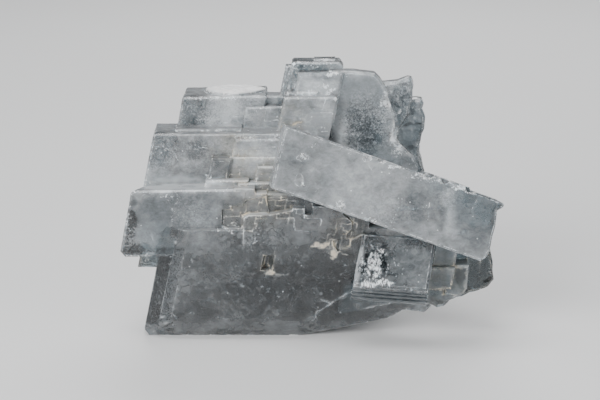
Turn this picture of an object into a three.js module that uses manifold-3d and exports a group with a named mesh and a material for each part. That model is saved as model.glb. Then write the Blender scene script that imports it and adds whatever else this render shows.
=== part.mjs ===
// Barite specimen: a stepped cluster of thick rhombic tablets grown parallel to each other, a long blade
// lying across its front, and a clear tablet tucked under the blade. Millimetres, +Z up, front towards -Y.
import * as THREE from "three";
import { ConvexGeometry } from "three/addons/geometries/ConvexGeometry.js";
import { mergeVertices } from "three/addons/utils/BufferGeometryUtils.js";
import Module from "manifold-3d";

const wasm = await Module();
wasm.setup();

// ---- Driving dimensions ----
const PRISM_ANGLE = 78.4; // degrees between barite's prism faces, seen square to the tablet
const LEAN = Math.tan(THREE.MathUtils.degToRad(90 - PRISM_ANGLE)); // run of a side edge per mm of height
const FOOT = -2.5; // height of the resting face, below the front corner of the lower plate
const SEAM = 0.3; // gap left where two separately grown crystals touch
const WORN = 0.45; // chamfer on an ordinary tablet edge

// ---- Solids from three.js geometry ----

function solidOf(geometry) {
  geometry.deleteAttribute("normal");
  if (geometry.getAttribute("uv")) geometry.deleteAttribute("uv");
  const merged = mergeVertices(geometry, 1e-4);
  return new wasm.Manifold(
    new wasm.Mesh({
      numProp: 3,
      vertProperties: new Float32Array(merged.getAttribute("position").array),
      triVerts: new Uint32Array(merged.index.array),
    }),
  );
}

function meshGeometryOf(solid) {
  const { numProp, numVert, vertProperties, triVerts } = solid.getMesh();
  const position = new Float32Array(numVert * 3);
  for (let i = 0; i < numVert; i++)
    position.set(vertProperties.subarray(i * numProp, i * numProp + 3), i * 3);
  const geometry = new THREE.BufferGeometry()
    .setAttribute("position", new THREE.BufferAttribute(position, 3))
    .setIndex(new THREE.BufferAttribute(triVerts, 1))
    .toNonIndexed();
  geometry.computeVertexNormals();
  return geometry;
}

const join = (solids) => solids.reduce((sum, next) => sum.add(next));
const largest = (solid) => solid.decompose().sort((a, b) => b.volume() - a.volume())[0];

// The convex hull of rings of [x, z] points, each ring given with its depth y.
const hullOfRings = (rings) =>
  new ConvexGeometry(rings.flatMap(([y, ring]) => ring.map(([x, z]) => new THREE.Vector3(x, y, z))));

// ---- Rhombic tablets ----

const SIDES = ["left", "right", "top", "bottom"];
const everySide = (size) => Object.fromEntries(SIDES.map((side) => [side, size]));

// The tablet's outline hangs from its top left corner at 0, 0. Both of its sides lean to the right by lean.
// inset moves each side inwards, and cut takes each corner off by that much along both of its sides.
function rhombus(width, height, lean, inset, cut) {
  const top = -inset.top;
  const bottom = inset.bottom - height;
  const leftAt = (v) => lean * v + inset.left;
  const rightAt = (v) => width + lean * v - inset.right;
  // Anticlockwise from the top left. before and after are the directions along the sides at each corner.
  const corners = [
    { at: [leftAt(top), top], before: [-1, 0], after: [-lean, -1], size: cut.topLeft },
    { at: [leftAt(bottom), bottom], before: [-lean, -1], after: [1, 0], size: cut.bottomLeft },
    { at: [rightAt(bottom), bottom], before: [1, 0], after: [lean, 1], size: cut.bottomRight },
    { at: [rightAt(top), top], before: [lean, 1], after: [-1, 0], size: cut.topRight },
  ];
  return corners.flatMap(({ at: [u, v], before, after, size = 0 }) => [
    [u - before[0] * size, v - before[1] * size],
    ...(size ? [[u + after[0] * size, v + after[1] * size]] : []),
  ]);
}

// A tablet hung from its front face's top left corner, at [x, y, z]. size is [width, thickness, height].
// roll turns it anticlockwise as seen from the front, pitch leans it back, yaw turns its front towards +X.
// chamfer is the front edge's bevel on each side, and chamferDepth is how far back that bevel runs.
// taper draws each side in by that much from behind the bevel to the back. grow swells the tablet all round.
function tablet(spec, grow = 0) {
  const { at, size, roll = 0, pitch = 0, yaw = 0, lean = LEAN, cut = {}, chamferDepth = WORN } = spec;
  const [width, thickness, height] = size;
  const chamfer = { ...everySide(WORN), ...spec.chamfer };
  const taper = { ...everySide(0), ...spec.taper };
  const ring = (insetOf) => {
    const inset = Object.fromEntries(SIDES.map((side) => [side, insetOf(side) - grow]));
    return rhombus(width, height, lean, inset, cut);
  };
  const geometry = hullOfRings([
    [-grow, ring((side) => chamfer[side])],
    [chamferDepth, ring(() => 0)],
    [thickness - WORN, ring((side) => taper[side])],
    [thickness + grow, ring((side) => taper[side] + WORN)],
  ]);
  const turn = ([x, y, z]) => new THREE.Euler(...[x, y, z].map(THREE.MathUtils.degToRad), "ZXY");
  const placed = new THREE.Matrix4().makeRotationFromEuler(turn([-pitch, -roll, yaw])).setPosition(...at);
  return solidOf(geometry.applyMatrix4(placed));
}

// ---- Slabs with an outline of their own ----

// outline is [x, z] points anticlockwise as seen from the front; front is the y of the front face.
function slab({ outline, front, thickness, bevel = WORN }, grow = 0) {
  const shape = new THREE.Shape(outline.map(([x, z]) => new THREE.Vector2(x, z)));
  const geometry = new THREE.ExtrudeGeometry(shape, {
    depth: thickness - 2 * bevel,
    bevelThickness: bevel + grow,
    bevelSize: bevel,
    bevelOffset: grow - bevel,
    bevelSegments: 1,
  });
  return solidOf(geometry.rotateX(Math.PI / 2).translate(0, front + thickness - bevel, 0));
}

// ---- The lower plate, with broad bevels down its left side and along its foot ----

const LOWER_PLATE = {
  topLeft: [-37.7, 26.4],
  topRight: [29, 27],
  // The foot is flat on the left and rises to the right: [x, height above the resting face].
  foot: [[-3, 0], [10, 2.6], [19.2, 4.6], [28.5, 9.6]],
  // From the face at the front to the back, each ring stepping in by left and up by bottom.
  rings: [
    { depth: 0, left: 6.3, bottom: 5.7 },
    { depth: 1.5, left: 3.5, bottom: 3.9 },
    { depth: 4.5, left: 0, bottom: 0 },
    { depth: 15, left: 0, bottom: 0 },
  ],
  cornerCut: 1.6, // at the bottom left
};

function lowerPlate(grow = 0) {
  const { topLeft, topRight, foot, rings, cornerCut } = LOWER_PLATE;
  const ring = ({ depth, left, bottom }) => {
    const sideAt = (z) => topLeft[0] + (z - topLeft[1]) * LEAN + left - grow;
    const low = FOOT + bottom;
    const footRight = ([x, rise]) => [x + grow, FOOT + rise + bottom * 0.9 - grow];
    const points = [
      [sideAt(topLeft[1]), topLeft[1] + grow],
      [sideAt(low + cornerCut), low + cornerCut],
      [sideAt(low) + cornerCut, low - grow],
      [foot[0][0], low - grow],
      ...foot.slice(1).map(footRight),
      [topRight[0] + grow, topRight[1] + grow],
    ];
    return [depth ? depth : -grow, points];
  };
  return solidOf(hullOfRings(rings.map(ring)));
}

// ---- The stepped cluster ----

const TABLETS = {
  // Big blocks that step back and up towards the left.
  left_block: {
    at: [-45.8, 1.4, 36.3],
    size: [29.4, 10.8, 17.3],
    roll: 0.8,
    cut: { bottomLeft: 1.5, topLeft: 0.7 },
    taper: { left: 4, top: 0.4 },
  },
  left_underplate: { at: [-43.6, 6, 21], size: [9, 5, 6] },
  middle_left_block: { at: [-40.6, 10.8, 48.8], size: [36, 14, 22], cut: { topLeft: 0.25 } },
  middle_left_ledge: { at: [-35.2, 14.6, 49.2], size: [17, 7.4, 4], roll: 0.6, chamfer: everySide(0.3) },
  upper_left_block: {
    at: [-33.7, 21.1, 56.2],
    size: [22, 14.2, 20],
    roll: 1.2,
    cut: { topLeft: 0.4, topRight: 0.6 },
    taper: { left: 0.4 },
  },
  upper_left_step: { at: [-17.4, 20, 53.8], size: [12, 8, 14], roll: 2 },
  saddle: { at: [-16, 24, 56.1], size: [14, 6, 16] },

  // Steps between the blocks and the blade.
  centre_high_step: { at: [-19.9, 9.4, 47.7], size: [19, 8, 14], roll: 1 },
  centre_middle_step: { at: [-21.2, 8.3, 43.4], size: [18, 6, 9] },
  window_tablet: { at: [-25.7, 7.4, 43.2], size: [5.4, 6, 5.6], chamfer: everySide(0.7) },
  window_ledge: { at: [-27.2, 5.4, 38.1], size: [11, 6, 4] },
  centre_block: { at: [-14.2, 6.6, 41.4], size: [14, 8, 9] },
  centre_block_foot: { at: [-19, 4.6, 37.4], size: [15, 7, 8], roll: 1 },
  shaded_step: { at: [-12, 2.2, 35.4], size: [21, 8, 9] },

  // The stack at the top.
  stack_front: { at: [-7.5, 15, 57.5], size: [13.8, 9, 20], cut: { topRight: 0.6 } },
  stack_sliver: { at: [-6.7, 18, 58.3], size: [8, 6, 14] },
  stack_middle: { at: [-3.9, 19, 63], size: [11.8, 6, 14], roll: 1, chamfer: everySide(0.7) },
  stack_top: { at: [-5.4, 22.8, 65.1], size: [13.6, 7.4, 16], cut: { topRight: 1.4, topLeft: 0.4 } },
  stack_cap: { at: [0.2, 25, 65.5], size: [5.6, 4.6, 6] },
  stack_edge: { at: [-6.4, 23.8, 64], size: [6, 3, 12] },
  stack_outer_edge: { at: [-7.2, 25.4, 63.6], size: [7, 4, 12] },

  // The mass behind the front plates, down to the resting face.
  core_lower: { at: [-33, 12, 26], size: [44, 18, 26 - FOOT] },
  core_upper: { at: [-32, 13, 46], size: [37, 17, 24] },
  core_right: { at: [4, 5, 31], size: [29, 19, 20], cut: { bottomRight: 3 } },

  // The back: two broad plates and smaller steps on them.
  rear_plate: { at: [-29, 25, 43], size: [45, 9, 43 - FOOT], cut: { topLeft: 3, bottomRight: 3 } },
  rear_plate_upper: { at: [-9, 27, 53.5], size: [27, 7, 24], roll: -1.5, cut: { topRight: 2.5 } },
  rear_step_left: { at: [-25.5, 31, 30], size: [22, 6.2, 22], roll: 2, cut: { bottomLeft: 1.2 } },
  rear_step_right: { at: [1, 29, 33], size: [24, 8, 27], roll: -3, cut: { topRight: 1.5 } },
  rear_step_high: { at: [-21, 28, 49], size: [15, 5, 15], roll: 1 },
  rear_tablet: { at: [-8, 33, 26], size: [13, 5.6, 13], roll: 14, cut: { topLeft: 1 } },
};

// Plates with broken or stepped edges. Points run anticlockwise, [x, z], at the front face.
const PLATES = {
  // Behind the stack, broken down its right side.
  upper_right_plate: {
    front: 20,
    thickness: 5,
    bevel: 0.7,
    outline: [
      [4, 30], [27, 30], [27.4, 38.4], [26.3, 40.6], [24.4, 42.7], [22.4, 44.8], [21.2, 47], [21.5, 50],
      [20.7, 53], [19.8, 55.8], [19, 58.4], [17.2, 61.2], [15.8, 62.6], [10, 63.3], [4, 63.3],
    ],
  },
  upper_right_shard: {
    front: 24,
    thickness: 4,
    bevel: 0.9,
    outline: [
      [15, 36], [22.4, 36], [22.8, 47], [25, 50.4], [26.2, 55], [26.1, 59.2], [25.6, 60.6], [24.6, 61],
      [21.6, 60], [18.8, 59.6], [15, 59.4],
    ],
  },
  right_shard: {
    front: 26.8,
    thickness: 4.4,
    bevel: 0.8,
    outline: [
      [12, 26], [28.6, 27], [29.9, 34.6], [28.5, 39.6], [28.2, 42.4], [29.3, 46.6], [29.4, 49.8], [28.5, 52],
      [28.9, 53.4], [28.4, 54.6], [26.4, 54.8], [12, 55],
    ],
  },
  // Over the lower plate's top edge, climbing to the right in small steps.
  lower_terrace: {
    front: -0.05,
    thickness: 6,
    bevel: 0.25,
    outline: [
      [-17.9, 22], [14, 22], [14, 32.7], [-0.3, 32.7], [-0.6, 30.5], [-2.1, 30.5], [-2.1, 32.2],
      [-5.2, 32.2], [-5.5, 31.6], [-11, 30.5], [-16.2, 30.4], [-17.7, 29.6],
    ],
  },
  centre_terrace: {
    front: 1.5,
    thickness: 6,
    bevel: 0.3,
    outline: [[-20, 26], [-10.8, 26], [-11.2, 31], [-11.6, 35.8], [-14.4, 35.6], [-14.8, 36.8], [-20, 36.9]],
  },
  // Small tablets past the right end of the clear tablet.
  corner_tablet_high: {
    front: 1,
    thickness: 9,
    outline: [[29.2, 14], [35.2, 14], [35.7, 16.4], [37.2, 25], [31, 26]],
  },
  corner_tablet_low: {
    front: -1,
    thickness: 9,
    outline: [[28.4, 10.9], [34.7, 11.2], [35.1, 12.6], [35.8, 17], [29.2, 17.1]],
  },
  corner_tablet_side: {
    front: 2,
    thickness: 9,
    outline: [[33, 9], [36.2, 8.4], [38.2, 9.2], [39, 10.6], [39.4, 16.7], [33, 16.7]],
  },
  corner_foot: {
    front: 2.6,
    thickness: 9,
    bevel: 0.9,
    outline: [
      [28, 5.4], [29.8, 5.8], [31.2, 4.8], [33.4, 5.1], [35, 6.6], [37.6, 8.4], [36.5, 13], [28, 13],
    ],
  },
  right_foot_plate: {
    front: 8.6,
    thickness: 7.4,
    bevel: 0.7,
    outline: [
      [33, 7], [36.4, 5.8], [38.3, 6.4], [40.2, 7.4], [42.5, 7.7], [45, 8.8], [46.7, 10.8], [46.2, 15.6],
      [45.4, 18.6], [44.6, 24], [33, 25],
    ],
  },
  foot_chip: {
    front: 5.5,
    thickness: 6,
    bevel: 0.6,
    outline: [[19.4, 3.4], [23.8, 3.4], [28.6, 2.9], [30.3, 4.4], [30, 9], [19, 9]],
  },
};

// Hollows left open by the growth layers. They are cut back from in front of the face to the depth of floor.
const HOLLOWS = {
  // Between the left block and the terraces.
  centre_pocket: {
    floor: 2,
    outline: [
      [-23, 27.4], [-21.4, 26.6], [-17.8, 26.5], [-17.8, 29.7], [-16.2, 30.5], [-11.2, 30.6], [-11.5, 32.6],
      [-12, 34.8], [-14.8, 34.3], [-16.9, 33.8], [-17.8, 32.3], [-20.7, 32.2], [-20.7, 31.5], [-23, 31.5],
    ],
  },
  // A channel running to the clear tablet, under the blade.
  right_channel: {
    floor: 1.0,
    outline: [
      [15.7, 33.6], [7.4, 33.6], [7.4, 30.7], [9.6, 28.6], [9.6, 26.8], [8.4, 25.5], [8.2, 24.3],
      [4.9, 23.7], [5.1, 22.4], [6.2, 20.8], [6.7, 21.6], [9.2, 22.1], [9.4, 23.8], [11.9, 25.2],
      [15.7, 24.7],
    ],
  },
};

// Small rhombic pits: the top left corner of the mouth, its size, its depth, and how far the walls close in.
const PITS = {
  face_pit: {
    at: [-12.5, 0, 19.9],
    size: [2.9, 3.9],
    depth: 1.6,
    taper: { right: 0.9, bottom: 0.8, left: 0.1, top: 0.2 },
  },
  terrace_pit: { at: [-9.9, 0, 31.9], size: [1.6, 1], depth: 0.6, taper: everySide(0.2) },
};

// A low lumpy crust of white barite on the top of the upper left block.
const CRUST = {
  centre: [-20.3, 27.6],
  radii: [8.2, 5.6],
  base: 56,
  levels: [[0.92, 57.4], [0.6, 58]], // share of the base's radii, height
  points: 13,
};

function crust() {
  const { centre, radii, base, levels, points } = CRUST;
  const ring = ([scale, z]) =>
    Array.from({ length: points }, (_, i) => {
      const turn = (i / points) * 2 * Math.PI;
      const reach = scale * (1 + 0.08 * Math.sin(3 * turn) + 0.06 * Math.cos(5 * turn));
      const x = centre[0] + radii[0] * reach * Math.cos(turn);
      const y = centre[1] + radii[1] * reach * Math.sin(turn);
      return new THREE.Vector3(x, y, z);
    });
  return solidOf(new ConvexGeometry([[1, base], ...levels].flatMap(ring)));
}

function pit({ at: [x, y, z], size: [width, height], depth, taper }) {
  const mouth = 1; // the cut starts this far in front of the face
  const walls = { chamfer: everySide(0), chamferDepth: mouth, taper };
  return tablet({ at: [x, y - mouth, z], size: [width, depth + mouth, height], ...walls });
}

function hollow({ floor, outline }) {
  const mouth = 3;
  return slab({ outline, front: -mouth, thickness: floor + mouth, bevel: 0.2 });
}

const clusterPieces = (grow) => [
  lowerPlate(grow),
  ...Object.values(TABLETS).map((spec) => tablet(spec, grow)),
  ...Object.values(PLATES).map((spec) => slab(spec, grow)),
];

function steppedCluster() {
  const openings = [...Object.values(HOLLOWS).map(hollow), ...Object.values(PITS).map(pit)];
  return largest(join([...clusterPieces(0), crust()]).subtract(join(openings)));
}

// ---- The long blade ----

const BLADE = {
  corner: [-7, -5.4, 54.7], // top left of the front face
  fall: 20, // degrees that its length falls to the right
  leanBack: 11, // degrees
  thickness: 13,
  // [along, up] from the corner. The right end is a worn break with a spur at the top.
  outline: [
    [1.9, -15.9], [12, -15.8], [57, -15.7], [58.1, -14.6], [58.5, -12.6], [57.9, -9], [57.7, -5.5],
    [57, -2.6], [58, -1.5], [58.1, -0.4], [57.6, 0.1], [48.9, 0.1], [48.4, 0.7], [37.2, 0.6], [36.6, 0],
    [0, 0],
  ],
  // Chips along the top edge: where, how long and how deep.
  chips: [
    { along: 6, length: 3.4, depth: 0.5 },
    { along: 20.5, length: 2.2, depth: 0.6 },
    { along: 25.5, length: 3.2, depth: 1.1 },
    { along: 31, length: 2, depth: 0.6 },
    { along: 37.5, length: 3.6, depth: 0.8 },
    { along: 42, length: 2.4, depth: 0.7 },
    { along: 49, length: 4, depth: 0.8 },
    { along: 54, length: 2.6, depth: 0.6 },
  ],
};

// A scoop out of the blade's top front edge, as a squat eight-sided cut.
function chip({ along, length, depth }) {
  const half = length / 2;
  const corners = [
    [-half, -0.4, 0.6], [half, -0.4, 0.6], [-half * 0.6, -0.4, -depth], [half * 0.4, -0.4, -depth * 0.8],
    [-half * 0.7, 2 * depth, 0.6], [half * 0.8, 1.6 * depth, 0.6], [0, depth, -depth * 0.5],
  ];
  const points = corners.map(([x, y, z]) => new THREE.Vector3(along + x, y, z));
  return solidOf(new ConvexGeometry(points));
}

function longBlade() {
  const { corner, fall, leanBack, thickness, outline, chips } = BLADE;
  const whole = slab({ outline, front: 0, thickness, bevel: 0.5 }).subtract(join(chips.map(chip)));
  return whole.rotate([-leanBack, 0, 0]).rotate([0, fall, 0]).translate(corner);
}

// ---- The clear tablet, leaning back so that its striated lower side shows ----

const CLEAR = {
  at: [12.3, -0.4, 26.1],
  width: 18.6,
  height: 14.5,
  lean: 0.1,
  roll: -5.3,
  pitch: 37,
  yaw: 2.3,
  // Growth layers from front to back, each standing out from the outline by out.
  lamellae: [
    { depth: 0, thickness: 3.2, out: 0 },
    { depth: 2.8, thickness: 1.5, out: 0.2 },
    { depth: 3.9, thickness: 1.5, out: -0.15 },
    { depth: 5, thickness: 1.7, out: 0.25 },
    { depth: 6.3, thickness: 1.5, out: 0 },
    { depth: 7.4, thickness: 2.6, out: 0.3 },
  ],
};

function clearTablet() {
  const { at, width, height, lean, roll, pitch, yaw, lamellae } = CLEAR;
  const layers = lamellae.map(({ depth, thickness, out }, i) => {
    const edge = i ? 0.12 : 0.7;
    return tablet({
      at: [-out, depth, out],
      size: [width + 2 * out, thickness, height + 2 * out],
      lean,
      chamfer: everySide(edge),
      chamferDepth: edge,
    });
  });
  return join(layers).rotate([0, -roll, 0]).rotate([-pitch, 0, yaw]).translate(at);
}

// ---- The specimen: each loose crystal is moulded against what it grew on ----

const cluster = steppedCluster();
const clusterSeat = join(clusterPieces(SEAM));
const bladeWhole = longBlade();
const bladeSeat = join([[0, 0, 0], [0, 0, -SEAM], [0, SEAM, 0]].map((step) => bladeWhole.translate(step)));
const blade = largest(bladeWhole.subtract(clusterSeat));
const clear = largest(clearTablet().subtract(clusterSeat).subtract(bladeSeat));

function named(name, solid, colour, roughness) {
  const material = new THREE.MeshStandardMaterial({ color: colour, roughness, metalness: 0 });
  const mesh = new THREE.Mesh(meshGeometryOf(solid), material);
  mesh.name = name;
  return mesh;
}

const specimen = new THREE.Group();
specimen.add(
  named("stepped_cluster", cluster, 0x9aa3a8, 0.35),
  named("long_blade", blade, 0xa6adb2, 0.4),
  named("clear_tablet", clear, 0x8d9296, 0.15),
);

// The origin is under the middle of the specimen, on the surface that it stands on.
const box = new THREE.Box3().setFromObject(specimen);
const middle = box.getCenter(new THREE.Vector3());
specimen.position.set(-middle.x, -middle.y, -box.min.z);

const part = new THREE.Group();
part.add(specimen);

export default part;
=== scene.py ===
"""Barite specimen: the dressed model. A stepped cluster of rhombic tablets, a long blade across its front
and a clear tablet under the blade. Each crystal is rebuilt from its CAD solid as a fine mesh with growth
steps, lamellae, worn edges and broken ends in its geometry, then given a cloudy see-through material."""

import math

import bpy
import numpy as np
from mathutils import Matrix, Vector
from mathutils.bvhtree import BVHTree
from mathutils.geometry import delaunay_2d_cdt
from mathutils.kdtree import KDTree


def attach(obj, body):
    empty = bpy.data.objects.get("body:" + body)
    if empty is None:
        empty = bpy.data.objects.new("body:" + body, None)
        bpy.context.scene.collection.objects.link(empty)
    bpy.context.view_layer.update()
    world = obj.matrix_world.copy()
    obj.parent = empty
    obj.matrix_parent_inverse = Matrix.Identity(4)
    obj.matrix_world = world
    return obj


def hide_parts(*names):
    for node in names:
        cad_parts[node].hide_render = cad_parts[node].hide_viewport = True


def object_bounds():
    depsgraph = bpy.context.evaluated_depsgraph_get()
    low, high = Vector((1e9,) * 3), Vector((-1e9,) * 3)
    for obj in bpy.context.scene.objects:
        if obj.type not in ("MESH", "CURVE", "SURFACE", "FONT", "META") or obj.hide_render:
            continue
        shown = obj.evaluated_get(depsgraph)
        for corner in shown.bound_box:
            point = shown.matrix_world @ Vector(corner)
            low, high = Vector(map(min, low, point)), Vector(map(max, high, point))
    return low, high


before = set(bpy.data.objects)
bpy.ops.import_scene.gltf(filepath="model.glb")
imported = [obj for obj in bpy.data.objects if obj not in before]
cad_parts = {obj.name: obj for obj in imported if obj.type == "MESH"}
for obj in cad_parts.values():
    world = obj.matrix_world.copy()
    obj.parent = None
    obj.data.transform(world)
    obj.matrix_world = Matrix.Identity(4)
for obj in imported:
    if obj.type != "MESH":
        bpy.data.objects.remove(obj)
cad_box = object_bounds()

MM = 0.001
FAR = 9.0  # farther than anything here reaches, in mm or in a noise's lumps


def far(points):
    return np.full(len(points), FAR)


# ---- Noise: the same numbers each run ----

def cell_value(cells, seed):
    """A number from 0 to 1 for each whole-number cell."""
    x, y, z = (cells[..., i].astype(np.int64) for i in range(3))
    mixed = (x * 73856093) ^ (y * 19349663) ^ (z * 83492791) ^ (seed * 2654435761)
    mixed = ((mixed ^ (mixed >> 13)) * 1274126177) & 0xFFFFFFFF
    mixed = ((mixed ^ (mixed >> 15)) * 2246822519) & 0xFFFFFFFF
    return ((mixed ^ (mixed >> 16)) & 0xFFFFFF) / 0xFFFFFF


def gridded(points, size):
    """The points in lumps of that size, all above 0, and the lowest corner of each one's cell."""
    grid = points / size + 1000.0
    return grid, np.floor(grid)


def value_noise(points, size, seed):
    """Smooth noise from 0 to 1 with lumps of the given size."""
    grid, low = gridded(points, size)
    part = grid - low
    part = part * part * (3 - 2 * part)
    total = np.zeros(len(points))
    for corner in np.ndindex(2, 2, 2):
        share = np.prod(np.where(np.array(corner) == 1, part, 1 - part), axis=1)
        total += share * cell_value(low + corner, seed)
    return total


def cloud_noise(points, size, seed, octaves=3):
    """Layered noise from 0 to 1."""
    total = np.zeros(len(points))
    weight = 0.0
    for octave in range(octaves):
        total += value_noise(points, size / 2**octave, seed + octave) / 2**octave
        weight += 1 / 2**octave
    return total / weight


def chip_noise(points, size, seed):
    """Distance to the nearest scattered seed point, 0 at a seed and about 1 far from all of them."""
    grid, low = gridded(points, size)
    nearest = far(points)
    for step in np.ndindex(3, 3, 3):
        cell = low + step - 1
        spot = cell + np.stack([cell_value(cell, seed + axis) for axis in range(3)], axis=1)
        nearest = np.minimum(nearest, np.linalg.norm(grid - spot, axis=1))
    return nearest


def splinter_noise(points, size, seed):
    """Angular hollows and ridges, from 0 to about 1, as on a fresh break."""
    grid, low = gridded(points, size)
    lowest = far(points)
    for step in np.ndindex(3, 3, 3):
        cell = low + step - 1
        random = [cell_value(cell, seed + i) for i in range(7)]
        away = grid - cell - np.stack(random[:3], axis=1)
        slope = 2 * np.stack(random[3:6], axis=1) - 1
        height = 0.5 * random[6] + 0.9 * (away * slope).sum(axis=1) + 0.55 * (away**2).sum(axis=1)
        lowest = np.minimum(lowest, height)
    return np.clip(lowest + 0.5, 0, 1)


def smooth(low, high, value):
    t = np.clip((value - low) / (high - low), 0, 1)
    return t * t * (3 - 2 * t)


def thin_line(distance, width):
    """1 on a line, and hardly anything at twice that width from it."""
    return np.exp(-((distance / width) ** 2))


def wandering(points, reach, size):
    """The points moved about by noise, so that a region's border wanders."""
    return points + reach * (2 * np.stack([cloud_noise(points, size, 80 + i) for i in range(3)], axis=1) - 1)


# ---- The CAD solid as flat facets ----

COPLANAR = math.cos(math.radians(0.6))
NEEDLE = 1e-5  # twice the area in square mm of a triangle that is too thin to have a direction
WELD = 1e7  # parts in a metre: corners that agree to one such part become one


def proper(triangles):
    """The triangles that have three different corners."""
    a, b, c = triangles.T
    return triangles[(a != b) & (b != c) & (a != c)]


def crossed(corners, triangles):
    """A vector along each triangle's normal, as long as twice its area."""
    a, b, c = (corners[triangles[:, i]] for i in range(3))
    return np.cross(b - a, c - a)


def pair(a, b):
    """An edge's two corners, the same from both sides."""
    return min(a, b), max(a, b)


def welded(node):
    """A CAD node's corners in mm, shared between its triangles."""
    mesh = node.data
    corners = np.empty(len(mesh.vertices) * 3)
    mesh.vertices.foreach_get("co", corners)
    corners = corners.reshape(-1, 3)
    mesh.calc_loop_triangles()
    triangles = np.empty(len(mesh.loop_triangles) * 3, int)
    mesh.loop_triangles.foreach_get("vertices", triangles)
    _, first, same = np.unique(np.round(corners * WELD).astype(np.int64), axis=0, return_index=True,
                               return_inverse=True)
    return corners[first] / MM, proper(same.reshape(-1)[triangles.reshape(-1, 3)])


class Facet:
    """A flat face of the solid: its plane, its axes and the corner-to-corner edges around it."""

    def __init__(self, corners, triangles, normal, axes):
        self.normal = normal
        # Along the face: the crystal's own x where it can be, or its y on a side that faces x.
        along = axes[0] if abs(axes[0] @ normal) < 0.8 else axes[1]
        along = along - (along @ normal) * normal
        self.u = along / np.linalg.norm(along)
        self.v = np.cross(normal, self.u)
        self.origin = corners[triangles[0, 0]]
        directed = {(t[i], t[(i + 1) % 3]) for t in triangles.tolist() for i in range(3)}
        self.edges = sorted(e for e in directed if e[::-1] not in directed)
        self.ring = corners[sorted({a for edge in self.edges for a in edge})]
        self.area = np.linalg.norm(crossed(corners, triangles), axis=1).sum() / 2
        self.centre = corners[triangles].mean(axis=1).mean(axis=0)
        self.breadth = 2 * self.area / sum(np.linalg.norm(corners[i] - corners[j]) for i, j in self.edges)

    def flat(self, points):
        away = points - self.origin
        return np.stack([away @ self.u, away @ self.v], axis=1)

    def solid(self, flat):
        return self.origin + flat[:, :1] * self.u + flat[:, 1:] * self.v


def facets_of(corners, triangles, axes):
    """The solid's flat faces: triangles that lie side by side in one plane. Slivers join any of them."""
    cross = crossed(corners, triangles)
    size = np.linalg.norm(cross, axis=1)
    normals = cross / np.maximum(size, 1e-12)[:, None]
    beside = {}
    for i, t in enumerate(triangles.tolist()):
        for k in range(3):
            beside.setdefault(pair(t[k], t[(k + 1) % 3]), []).append(i)
    neighbours = [[] for _ in triangles]
    for sharing in beside.values():
        for i in sharing:
            neighbours[i] += [j for j in sharing if j != i]
    group = np.full(len(triangles), -1)
    facets = []
    for seed in np.argsort(-size):
        if group[seed] >= 0:
            continue
        group[seed] = len(facets)
        members, front = [seed], [seed]
        while front:
            for j in neighbours[front.pop()]:
                if group[j] < 0 and (size[j] < NEEDLE or normals[j] @ normals[seed] > COPLANAR):
                    group[j] = len(facets)
                    members.append(j)
                    front.append(j)
        facets.append(Facet(corners, triangles[np.array(members)], normals[seed], axes))
    return facets


# ---- Fine mesh over the facets ----

SLIVER = 1e-4  # twice the smallest area worth keeping, in square mm
EDGE_STEP = 0.8  # mm between the points along an edge, at the most
GUARD = 0.17  # mm from an edge to the row of points that keeps its wear narrow
FROM_EDGE, CLOSEST = 0.1, 0.11  # mm between a step's points and an edge, and between points, at the least
APART = 0.55  # of the spacing, between the points of the grid, at the least
ROW_SPACING = 0.866  # of the spacing, between the rows of a hexagonal grid
JITTER = 0.16  # of the spacing: how far a grid's points are moved, each way
NO_POINTS = np.empty((0, 2))


def thinned(rows):
    """Keeps the points of each row that are far enough from all that was kept. rows: (points, least gap)."""
    kept, cells = [], {}
    size = max(gap for _, gap in rows)
    for points, gap in rows:
        for x, y in points.tolist():
            column, row = int(x // size), int(y // size)
            close = (
                other
                for i in (column - 1, column, column + 1)
                for j in (row - 1, row, row + 1)
                for other in cells.get((i, j), ())
            )
            if all((x - a) ** 2 + (y - b) ** 2 > gap * gap for a, b in close):
                cells.setdefault((column, row), []).append((x, y))
                kept.append((x, y))
    return np.array(kept).reshape(-1, 2)


def inside(points, starts, ends):
    """Which points lie inside the outline, by counting the edges that each point's ray crosses."""
    odd = np.zeros(len(points), bool)
    for (x0, y0), (x1, y1) in zip(starts, ends):
        if y0 == y1:
            continue
        between = (points[:, 1] < y0) != (points[:, 1] < y1)
        at = x0 + (points[:, 1] - y0) / (y1 - y0) * (x1 - x0)
        odd ^= between & (points[:, 0] < at)
    return odd


def clearance(points, starts, ends):
    """Distance from each point to the outline."""
    nearest = far(points)
    for start, end in zip(starts, ends):
        run = end - start
        t = np.clip((points - start) @ run / max(run @ run, 1e-12), 0, 1)
        nearest = np.minimum(nearest, np.linalg.norm(points - start - t[:, None] * run, axis=1))
    return nearest


def hex_points(low, high, spacing, rng):
    rows = np.arange(low[1], high[1], spacing * ROW_SPACING)
    columns = np.arange(low[0], high[0], spacing)
    x, y = np.meshgrid(columns, rows)
    x = x + spacing / 2 * (np.arange(len(rows)) % 2)[:, None]
    points = np.stack([x.ravel(), y.ravel()], axis=1)
    return points + rng.uniform(-JITTER, JITTER, points.shape) * spacing


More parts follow.
